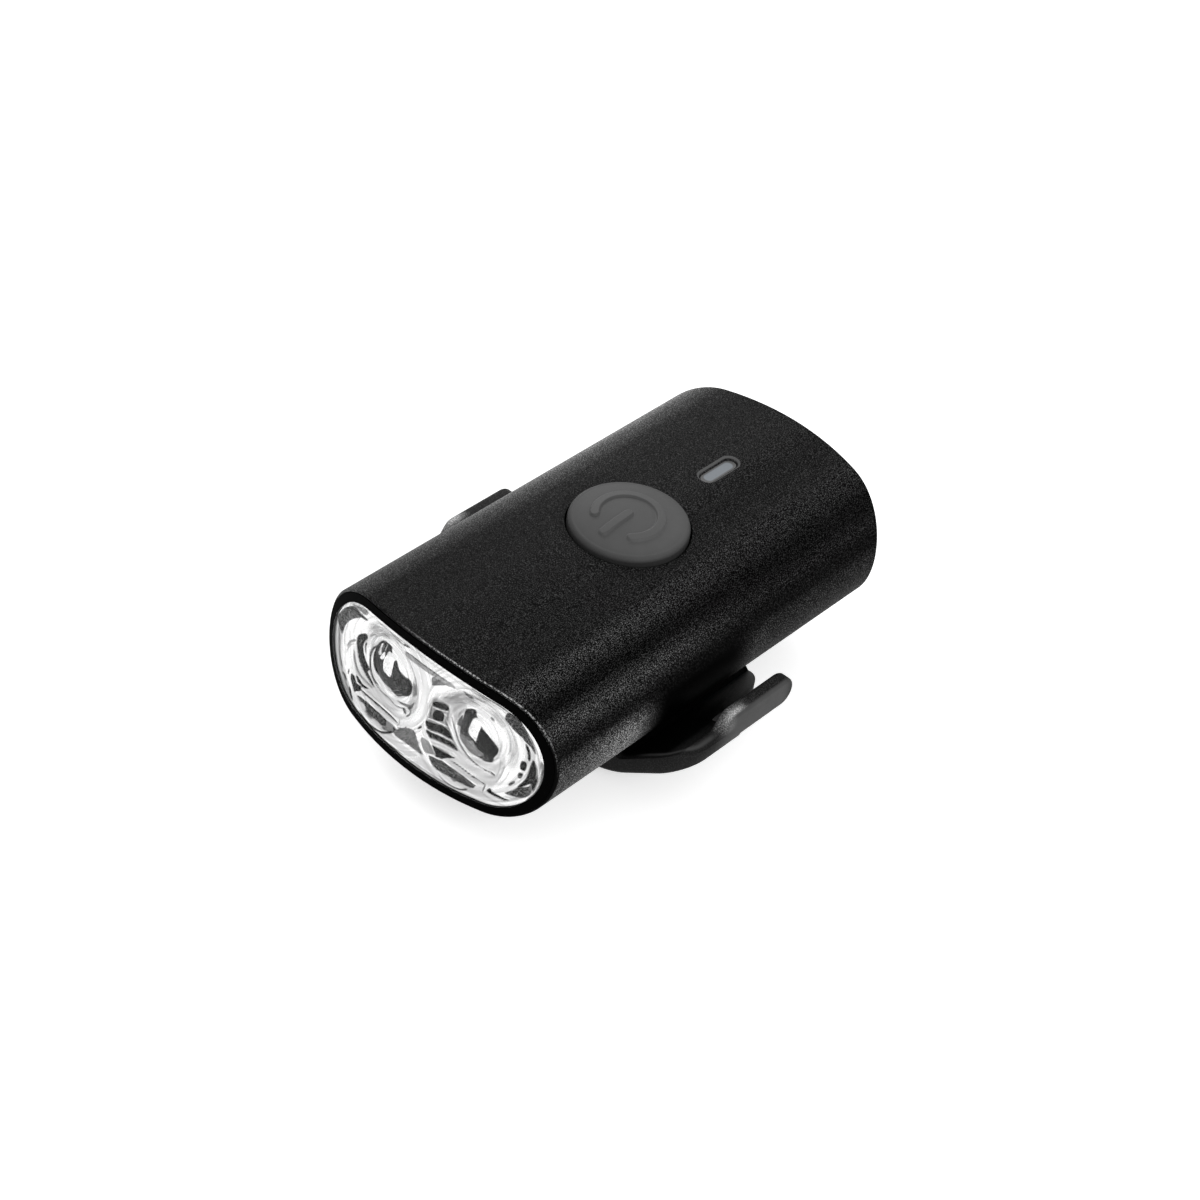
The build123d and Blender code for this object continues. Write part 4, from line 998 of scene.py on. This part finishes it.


# %% The painted reflection bands round the tube
band_start, band_end = -30.0, 30.0
front_reflection_bands = (
    (-26, 0.0130), (-22.5, 0.028), (-19.5, 0.105), (-17.5, 0.105), (-15, 0.056), (-12, 0.0170),
    (-9, 0.0150), (-5, 0.0165), (0, 0.0145), (8, 0.0135), (10, 0.0125), (12.6, 0.025),
    (15.5, 0.0045), (16.5, 0.0045), (18.8, 0.032), (21.2, 0.0060), (22.4, 0.0065), (25, 0.068),
    (30, 0.105),
)
rear_reflection_bands = (
    (-26, 0.0150), (-22.5, 0.035), (-19.5, 0.210), (-17.5, 0.200), (-15, 0.085), (-12, 0.0270),
    (-9, 0.0200), (-5, 0.0195), (0, 0.0195), (5, 0.0140), (8, 0.0150), (10.5, 0.0175),
    (13, 0.0135), (15.5, 0.0050), (17, 0.0050), (19, 0.0090), (20.5, 0.0045), (22, 0.0045),
    (24, 0.020), (30, 0.050),
)


def banded(bench, around):
    """Colour from the bands, which are (place round the section, grey); the rear takes over slowly."""
    place = (around - band_start) / (band_end - band_start)
    colours = []
    for bands in (front_reflection_bands, rear_reflection_bands):
        stops = [((mm - band_start) / (band_end - band_start), grey(value)) for mm, value in bands]
        colours.append(bench.wire.add("ShaderNodeValToRGB", {"stops": stops}, {"Fac": place}))
    return bench.y.soft(14.0, 48.0).colours(*colours)


# %% Anodised aluminium
def anodised():
    bench = Bench("anodised_black", Specular_IOR_Level=0.005)
    around = around_section(bench)
    depth = behind_face(bench)
    # the painted reflection bands; low on the right side the floor lights them, most between the ends
    middle_part = 0.95 * bench.y.soft(6.0, 17.0) - 0.95 * bench.y.soft(38.0, 47.0) - 0.25
    colour = bench.scaled(banded(bench, around), 1.0 + around.soft(22.0, 25.0) * middle_part)
    # one tone below the tube, and painted glints all over, strongest on the right side where the light falls
    upper = bench.z.soft(-9.2, -5.7)
    colour = upper.colours(grey(0.035), colour)
    glint = bench.noise(0.14, 1.0, 0.6).soft(0.48, 0.70)
    right_side = around.soft(9.5, 12.0) * around.soft(26.0, 21.0)
    coarse = 0.50 + upper * (0.20 * around.soft(-6.0, 4.0) + 0.55 * right_side)
    colour = bench.scaled(colour, (1.0 + coarse * (5.0 * glint - 1.05)).above(0.12))
    # painted shade: the dark patch above the base, where the base hides the floor's reflection
    shade = upper * bench.y.soft(17.5, 25.4) * bench.y.soft(44.0, 36.5) * around.soft(20.6, 24.2)
    colour = bench.scaled(colour, (1.0 - 0.95 * shade) ** 2.2)
    # the front edge: a dark lip at the lower right, then a line of bare metal, partly a painted dotted
    # highlight that fades out to the left and low on the right
    colour = (depth.soft(0.40, 0.20) * around.soft(17.0, 22.0)).colours(colour, grey(0.002))
    edge = depth.soft(0.22, 0.17) * depth.soft(0.03, 0.09) * bench.noise(0.22, 2.0).soft(0.40, 0.60)
    colour = (edge * bench.x.soft(-8.0, 4.0) * around.soft(26.0, 10.0)).colours(colour, grey(0.42))
    # the paler bevel round the indicator's slot
    slot = from_indicator(bench, 2.3)
    bevel = slot.soft(1.50, 1.42) * slot.soft(1.12, 1.24) * bench.z.soft(9.0, 9.2)
    colour = bevel.colours(colour, grey(0.10))
    fine = bench.noise(0.10, 1.0)
    return bench.feed(Base_Color=colour, Roughness=0.42 + 0.20 * fine - 0.14 * edge, height=fine * 0.008)


# %% [markdown]
# ## Plastics and rubbers
# Moulded parts differ in texture more than in colour: the end rings are satin, the inner mouldings dull,
# and rubber is matt. One helper sets a grey with a cloudy tone and a grain; the other does the same
# between any two colours.

# %% Plastics and rubbers
def moulded(name, tone, rough, grain, grain_depth, tint=0.0, specular=0.4):
    """Moulded plastic or rubber: cloudy grey, grain of this pitch and depth in millimetres."""
    bench = Bench(name, Specular_IOR_Level=specular)
    cloudy = bench.noise(3.0, 3.0)
    texture = bench.noise(grain, 2.0)
    colour = cloudy.colours(grey(tone * 0.82, tint), grey(tone * 1.18, tint))
    roughness = rough - 0.06 + 0.12 * texture
    return bench.feed(Base_Color=colour, Roughness=roughness, height=texture * grain_depth)


def coloured(name, low, high, rough, grain, grain_depth, **constants):
    """A plain part between two colours, with a fine surface of this pitch and depth."""
    bench = Bench(name, **constants)
    texture = bench.noise(grain, 2.0)
    colour = bench.noise(1.6, 3.0).colours((*low, 1.0), (*high, 1.0))
    return bench.feed(Base_Color=colour, Roughness=rough - 0.05 + 0.1 * texture, height=texture * grain_depth)


# %% [markdown]
# ## The base's plastic
# The base is moulded in black with a coarse grain. In the photo the outer faces of the hooks and their
# ramps look grey, because they catch the studio's light, and the rest stays deep black. The plain
# light here doesn't do that, so the finish carries it, and the grain stands out most on the ramps.

# %% The base's plastic
corner_x = 21.33
corner_y = 26.6
corner_radius = 4.6
hook_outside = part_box("mount_base")[1].x / MM
wing_top = -3.1
wing_slope = 0.77


def hook_plastic():
    bench = Bench("base_plastic", Specular_IOR_Level=0.04)
    grain = bench.noise(0.26, 2.0)
    glint = bench.noise(0.16, 1.0, 0.6).soft(0.44, 0.70)
    out = abs(bench.x)
    # deep black, a little lighter on the front walls and far out
    front_wall = out.soft(21.5, 23.0).above(bench.y.soft(23.4, 22.6))
    colour = bench.scaled(front_wall.colours(grey(0.0012), grey(0.013)), 0.7 + 1.1 * glint)
    # the tops of the hooks, with a painted highlight brightest in the core of each ramp
    hook_top = out.soft(23.0, 23.6) * bench.z.soft(-4.7, -3.6)
    ramp = bench.y.soft(28.0, 30.5) * bench.y.soft(35.5, 31.5)
    core = bench.y.soft(30.0, 31.8) * bench.y.soft(35.0, 32.4) * out.soft(24.2, 25.3)
    top = (0.008 + 0.05 * ramp + 0.22 * core) + glint * (0.030 + 0.16 * ramp + 0.25 * core)
    colour = hook_top.colours(colour, top.colours(grey(0.0), grey(1.0)))
    # a painted highlight line along the rounded front corners of the wings, on their top edge
    along, ahead = (out - corner_x).above(0.0), (corner_y - bench.y).above(0.0)
    inside = corner_radius - (along * along + ahead * ahead) ** 0.5
    rim = inside.soft(0.5, 1.0) * inside.soft(1.7, 1.1) * out.soft(17.0, 20.0) * bench.y.soft(30.0, 28.0)
    rise = bench.z - wing_top - wing_slope * (out - hook_outside)
    colour = (rim * rise.soft(-2.6, -1.4)).colours(colour, grey(0.055))
    # painted light on the outer faces of the hooks, the right one lighter as it faces the light
    facing = 0.35 + 0.65 * bench.x.soft(-1.0, 1.0)
    outside = facing * out.soft(25.3, 25.75) * bench.y.soft(27.5, 32.5) * bench.y.soft(44.0, 41.5)
    colour = outside.colours(colour, bench.noise(2.0, 3.0).colours(grey(0.050), grey(0.070)))
    return bench.feed(Base_Color=colour, Roughness=0.40 + 0.16 * grain, height=grain * 0.020)


# %% [markdown]
# ## The button's rubber
# Silicone rubber is mid grey and matt. The raised sign looks slightly lighter than the dome, the side
# wall below it darker, and the surface has a broad, faint mottling. In the photo its right half catches
# more light than its left one, and the finish carries that too.

# %% The button's rubber
def button_rubber():
    bench = Bench("button_rubber", Specular_IOR_Level=0.25)
    sign = bench.attribute("sign")
    above_wall = bench.z.soft(10.3, 11.55)
    body = bench.noise(1.8, 3.0).colours(grey(0.046), grey(0.055))
    body = bench.scaled(body, 0.64 + 0.74 * bench.x.soft(-10.0, 10.0))
    # painted shade: the side wall below the rounded edge is darker than the top
    colour = above_wall.colours(grey(0.016), body)
    colour = (sign * 0.35).colours(colour, grey(0.075))
    texture = bench.noise(0.12, 2.0)
    return bench.feed(Base_Color=colour, Roughness=0.52 + 0.14 * texture, height=texture * 0.006)


# %% [markdown]
# ## Clear plastic over bright metal
# The moulding's brightness is painted light and shade stored with its shape, so its material only
# reads it. A clear coat over it gives the crisp small highlights of polished plastic. The window is
# clear: it lets the moulding show and adds its own faint shine.

# %% Optic finishes
def bright_optic():
    bench = Bench("bright_optic", Coat_Roughness=0.05, Specular_IOR_Level=0.12)
    stored = bench.attribute("tone")
    fleck = bench.noise(0.24, 2.0, 0.7).soft(0.40, 0.68) - 0.42
    tone = (stored + fleck * (0.03 + 0.30 * stored.soft(0.70, 0.35))).above(0.01)
    light = tone ** 2.45
    colour = light.colours(grey(0.0), grey(1.0))
    roughness = 0.34 - 0.12 * tone
    return bench.feed(Base_Color=colour, Roughness=roughness, Metallic=tone * 0.75, Coat_Weight=light * 0.5)


def clear(name, tone, alpha, rough, coat):
    """Clear plastic or glass of this grey and this much cover, with a faint haze."""
    bench = Bench(name, Coat_Weight=coat, Coat_Roughness=0.02, IOR=1.49)
    haze = bench.noise(1.4, 2.0)
    colour = haze.colours(grey(tone * 0.9, 0.02), grey(tone, 0.02))
    return bench.feed(Base_Color=colour, Alpha=alpha + 0.02 * haze, Roughness=rough + 0.02 * haze)


# %% [markdown]
# ## Metals
# Screws, nuts, the charging shell and the bright tray are plain metal. It differs in tone and in how
# rough it was left, so one helper makes them all, with faint scratches that vary the shine.

# %% Metals
def metal(name, tone, rough, pitch, tint=0.0):
    """Turned or plated metal with faint scratches of this pitch."""
    bench = Bench(name, Metallic=1.0)
    scratch = bench.noise(pitch, 3.0, 0.7)
    colour = scratch.colours(grey(tone * 0.85, tint), grey(tone, tint))
    return bench.feed(Base_Color=colour, Roughness=rough + 0.14 * scratch, height=scratch * 0.003)


# %% [markdown]
# ## The indicator
# A clear pipe brings the light of a small emitter up to the slot. Its end is frosted and pale, and it
# darkens to the edge with painted shade, where one looks past it into the dark tube.

# %% Indicator finish
def pipe_finish():
    bench = Bench("frosted_pipe", Coat_Weight=0.3, Coat_Roughness=0.2)
    face = from_indicator(bench, 2.0).soft(0.80, 0.58)
    frost = bench.noise(0.35, 3.0)
    pale = frost.colours((0.09, 0.105, 0.12, 1), (0.13, 0.15, 0.17, 1))
    # painted shade round the pale end of the pipe
    colour = face.colours(grey(0.02), pale)
    return bench.feed(Base_Color=colour, Roughness=0.4 + 0.2 * frost)


# %% [markdown]
# ## Every node gets its finish
# Parts of the same stuff share a material. The inner parts can't be seen while the light is closed,
# but they are finished too, so that it can be taken apart in a picture.

# %% Handing out
finishes = {}


def dress(piece, material):
    """Give the whole piece this material."""
    piece.data.materials.clear()
    piece.data.materials.append(material)


def finish(nodes, material):
    """Dress these nodes in a material and remember it for them."""
    for node in nodes.split():
        finishes[node] = material
        dress(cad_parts[node], material)
    print(material.name, "on", nodes)


# %% The outside
finish("body_shell", anodised())
finish("mount_base", hook_plastic())
finish("power_button", button_rubber())
finish("optic_plate", bright_optic())
finish("light_pipe", pipe_finish())
finish("front_window", clear("window_clear", 0.03, 0.05, 0.03, 0.5))
finish("front_bezel", moulded("ring_black", 0.0008, 0.46, 0.30, 0.002, specular=0.005))
finish("rear_cap", moulded("satin_black", 0.008, 0.42, 0.30, 0.002, specular=0.3))
finish("rear_cap_screws", metal("black_steel", 0.09, 0.38, 0.4))
rubber_nodes = "front_gasket window_gasket rear_gasket grip_pad charge_cover"
finish(rubber_nodes, moulded("black_rubber", 0.022, 0.62, 0.16, 0.010))

# %% The inside
finish("chassis_tray switch_body button_seat charge_tongue",
       moulded("dark_moulding", 0.03, 0.50, 0.25, 0.004))
finish("switch_plunger", moulded("pale_moulding", 0.62, 0.4, 0.3, 0.003))
finish("driver_coil", moulded("ferrite", 0.06, 0.6, 0.2, 0.02))
finish("control_chips", moulded("chip_epoxy", 0.025, 0.42, 0.15, 0.004))
finish("cell_lead_black emitter_lead_black", moulded("lead_black", 0.02, 0.5, 0.3, 0.003))
finish("collimator_left collimator_right", clear("clear_cone", 0.5, 0.30, 0.05, 1.0))
finish("reflector_tray", metal("bright_tray", 0.88, 0.08, 1.2))
finish("heat_plate", metal("milled_aluminium", 0.80, 0.34, 0.7))
finish("charge_socket", metal("plated_shell", 0.74, 0.20, 0.6, -0.01))
finish("board_screws led_board_screws mount_screws mount_nut_plate",
       metal("zinc_steel", 0.62, 0.26, 0.5, 0.01))
finish("cell_lead_red emitter_lead_red",
       coloured("lead_red", (0.42, 0.015, 0.012), (0.52, 0.02, 0.015), 0.5, 0.3, 0.003))
finish("cell_lead_socket", coloured("nylon", (0.70, 0.66, 0.56), (0.78, 0.74, 0.66), 0.45, 0.4, 0.004))
finish("battery_foam", coloured("foam", (0.03, 0.03, 0.032), (0.07, 0.07, 0.07), 0.9, 0.35, 0.08))
finish("battery_cell",
       coloured("foil_pouch", (0.50, 0.51, 0.53), (0.60, 0.61, 0.63), 0.3, 2.2, 0.05, Metallic=0.8))
finish("main_board", coloured("green_mask", (0.010, 0.10, 0.045), (0.016, 0.14, 0.06), 0.3, 0.5, 0.004))
finish("led_board", coloured("white_mask", (0.74, 0.74, 0.72), (0.82, 0.82, 0.79), 0.35, 0.5, 0.004))
finish("led_left led_right",
       coloured("phosphor", (0.86, 0.70, 0.16), (0.92, 0.80, 0.28), 0.25, 0.4, 0.004, Coat_Weight=1.0))
finish("indicator_emitter",
       coloured("emitter_body", (0.72, 0.72, 0.66), (0.80, 0.80, 0.74), 0.3, 0.4, 0.003))
finish("board_capacitors", coloured("ceramic", (0.36, 0.24, 0.14), (0.46, 0.32, 0.19), 0.5, 0.3, 0.004))
print("nodes without a finish", sorted(set(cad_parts) - set(finishes)))

# %% The new pieces
for piece, node in (
    (optic_moulding, "optic_plate"), (lens_left, "optic_plate"), (lens_right, "optic_plate"),
    (front_glass, "front_window"), (button_cap, "power_button"), (base, "mount_base"),
):
    dress(piece, finishes[node])
    print(piece.name, "has the finish", finishes[node].name)

# %% [markdown]
# ## The floor
# The light stands on a plain pale floor. It looks white to the camera and in reflections by a glow of
# its own, and still takes the soft shadow. From below it is clear, so that the pad and the base can be
# looked at.

# %% Floor
floor_reach = 6.0
floor_height = -0.00005
floor_grey = 0.93
floor_glow = 0.48
floor_mesh = bpy.data.meshes.new("floor")
floor_corners = [
    (x * floor_reach, y * floor_reach, floor_height) for x, y in ((-1, -1), (1, -1), (1, 1), (-1, 1))
]
floor_mesh.from_pydata(floor_corners, [], [(0, 1, 2, 3)])
floor = bpy.data.objects.new("floor", floor_mesh)
bpy.context.scene.collection.objects.link(floor)
paper = Bench("floor_paper", Specular_IOR_Level=0.0, Roughness=1.0, Base_Color=grey(floor_grey))
paper.shader.inputs["Emission Color"].default_value = (1, 1, 1, 1)
camera_ray, glossy_ray = (
    paper.wire.add("ShaderNodeLightPath", output=name) for name in ("Is Camera Ray", "Is Glossy Ray")
)
glow = camera_ray.above(glossy_ray) * floor_glow
paper.tree.links.new(glow.socket, paper.shader.inputs["Emission Strength"])
one_sided = paper.wire.add("ShaderNodeMixShader", inputs={
    0: paper.wire.add("ShaderNodeNewGeometry", output="Backfacing"),
    1: Wire(paper.tree, paper.shader.outputs[0]),
    2: paper.wire.add("ShaderNodeBsdfTransparent"),
})
paper.tree.links.new(one_sided.socket, paper.tree.nodes["Material Output"].inputs[0])
floor.data.materials.append(paper.material)
print("floor", 2 * floor_reach, "m wide")

# %% [markdown]
# ## The studio
# A photo studio lights small black things from all round, or their faces would vanish. The world does
# that evenly and looks white to the camera and to glossy and clear surfaces. Two large soft lamps add
# the shape.

# %% World and lamps
sky_strength = 0.82
world = bpy.data.worlds.new("studio")
bpy.context.scene.world = world
world.use_nodes = True
world_tree = world.node_tree
world_tree.nodes.clear()
world_wire = Wire(world_tree)
camera_ray, glossy_ray, through_ray = (
    world_wire.add("ShaderNodeLightPath", output=name)
    for name in ("Is Camera Ray", "Is Glossy Ray", "Is Transmission Ray")
)
shown_white = camera_ray.above(glossy_ray).above(through_ray)
strength = sky_strength + (1 - sky_strength) * shown_white
sky = world_tree.nodes.new("ShaderNodeBackground")
sky.inputs["Color"].default_value = (1, 1, 1, 1)
world_tree.links.new(strength.socket, sky.inputs["Strength"])
world_output = world_tree.nodes.new("ShaderNodeOutputWorld")
world_tree.links.new(sky.outputs[0], world_output.inputs[0])


def lamp(name, place, target, size, power):
    """Square soft lamp, aimed at a target; places in metres."""
    data = bpy.data.lights.new(name, "AREA")
    data.shape = "SQUARE"
    data.size = size
    data.energy = power
    piece = bpy.data.objects.new(name, data)
    piece.location = place
    piece.rotation_euler = (Vector(target) - Vector(place)).to_track_quat("-Z", "Y").to_euler()
    bpy.context.scene.collection.objects.link(piece)
    print(name, "at", place, "power", power)


middle = (0.0, 0.0, axis_height * MM)
lamp("left_back_lamp", (-0.45, 0.35, 0.35), middle, 0.30, 1.5)
lamp("right_front_lamp", (0.40, -0.15, 0.30), middle, 0.25, 0.8)

# %% [markdown]
# ## The camera
# Its lens, place and tilt were fitted to the edges of the tube in the photo, so the finished light can
# be laid over it. The colours are shown plainly, without a film look.

# %% Camera
camera_azimuth = radians(36.31)
camera_elevation = radians(40.316)
camera_roll = radians(8.904)
camera_place = (0.16702, -0.22935, 0.25515)
camera_data = bpy.data.cameras.new("camera")
camera_data.lens = 83.9
camera_data.sensor_width = 36.0
camera_data.clip_start = 0.01
camera_data.clip_end = 50.0
camera = bpy.data.objects.new("camera", camera_data)
bpy.context.scene.collection.objects.link(camera)
back = Vector((
    sin(camera_azimuth) * cos(camera_elevation),
    -cos(camera_azimuth) * cos(camera_elevation),
    sin(camera_elevation),
))
right = Vector((cos(camera_azimuth), sin(camera_azimuth), 0.0))
upward = back.cross(right)
rolled_right = right * cos(camera_roll) + upward * sin(camera_roll)
rolled_up = upward * cos(camera_roll) - right * sin(camera_roll)
turned = Matrix((rolled_right, rolled_up, back)).transposed().to_4x4()
camera.matrix_world = Matrix.Translation(camera_place) @ turned
bpy.context.scene.camera = camera
bpy.context.scene.view_settings.view_transform = "Standard"
print("camera looks along", [round(-v, 3) for v in back])
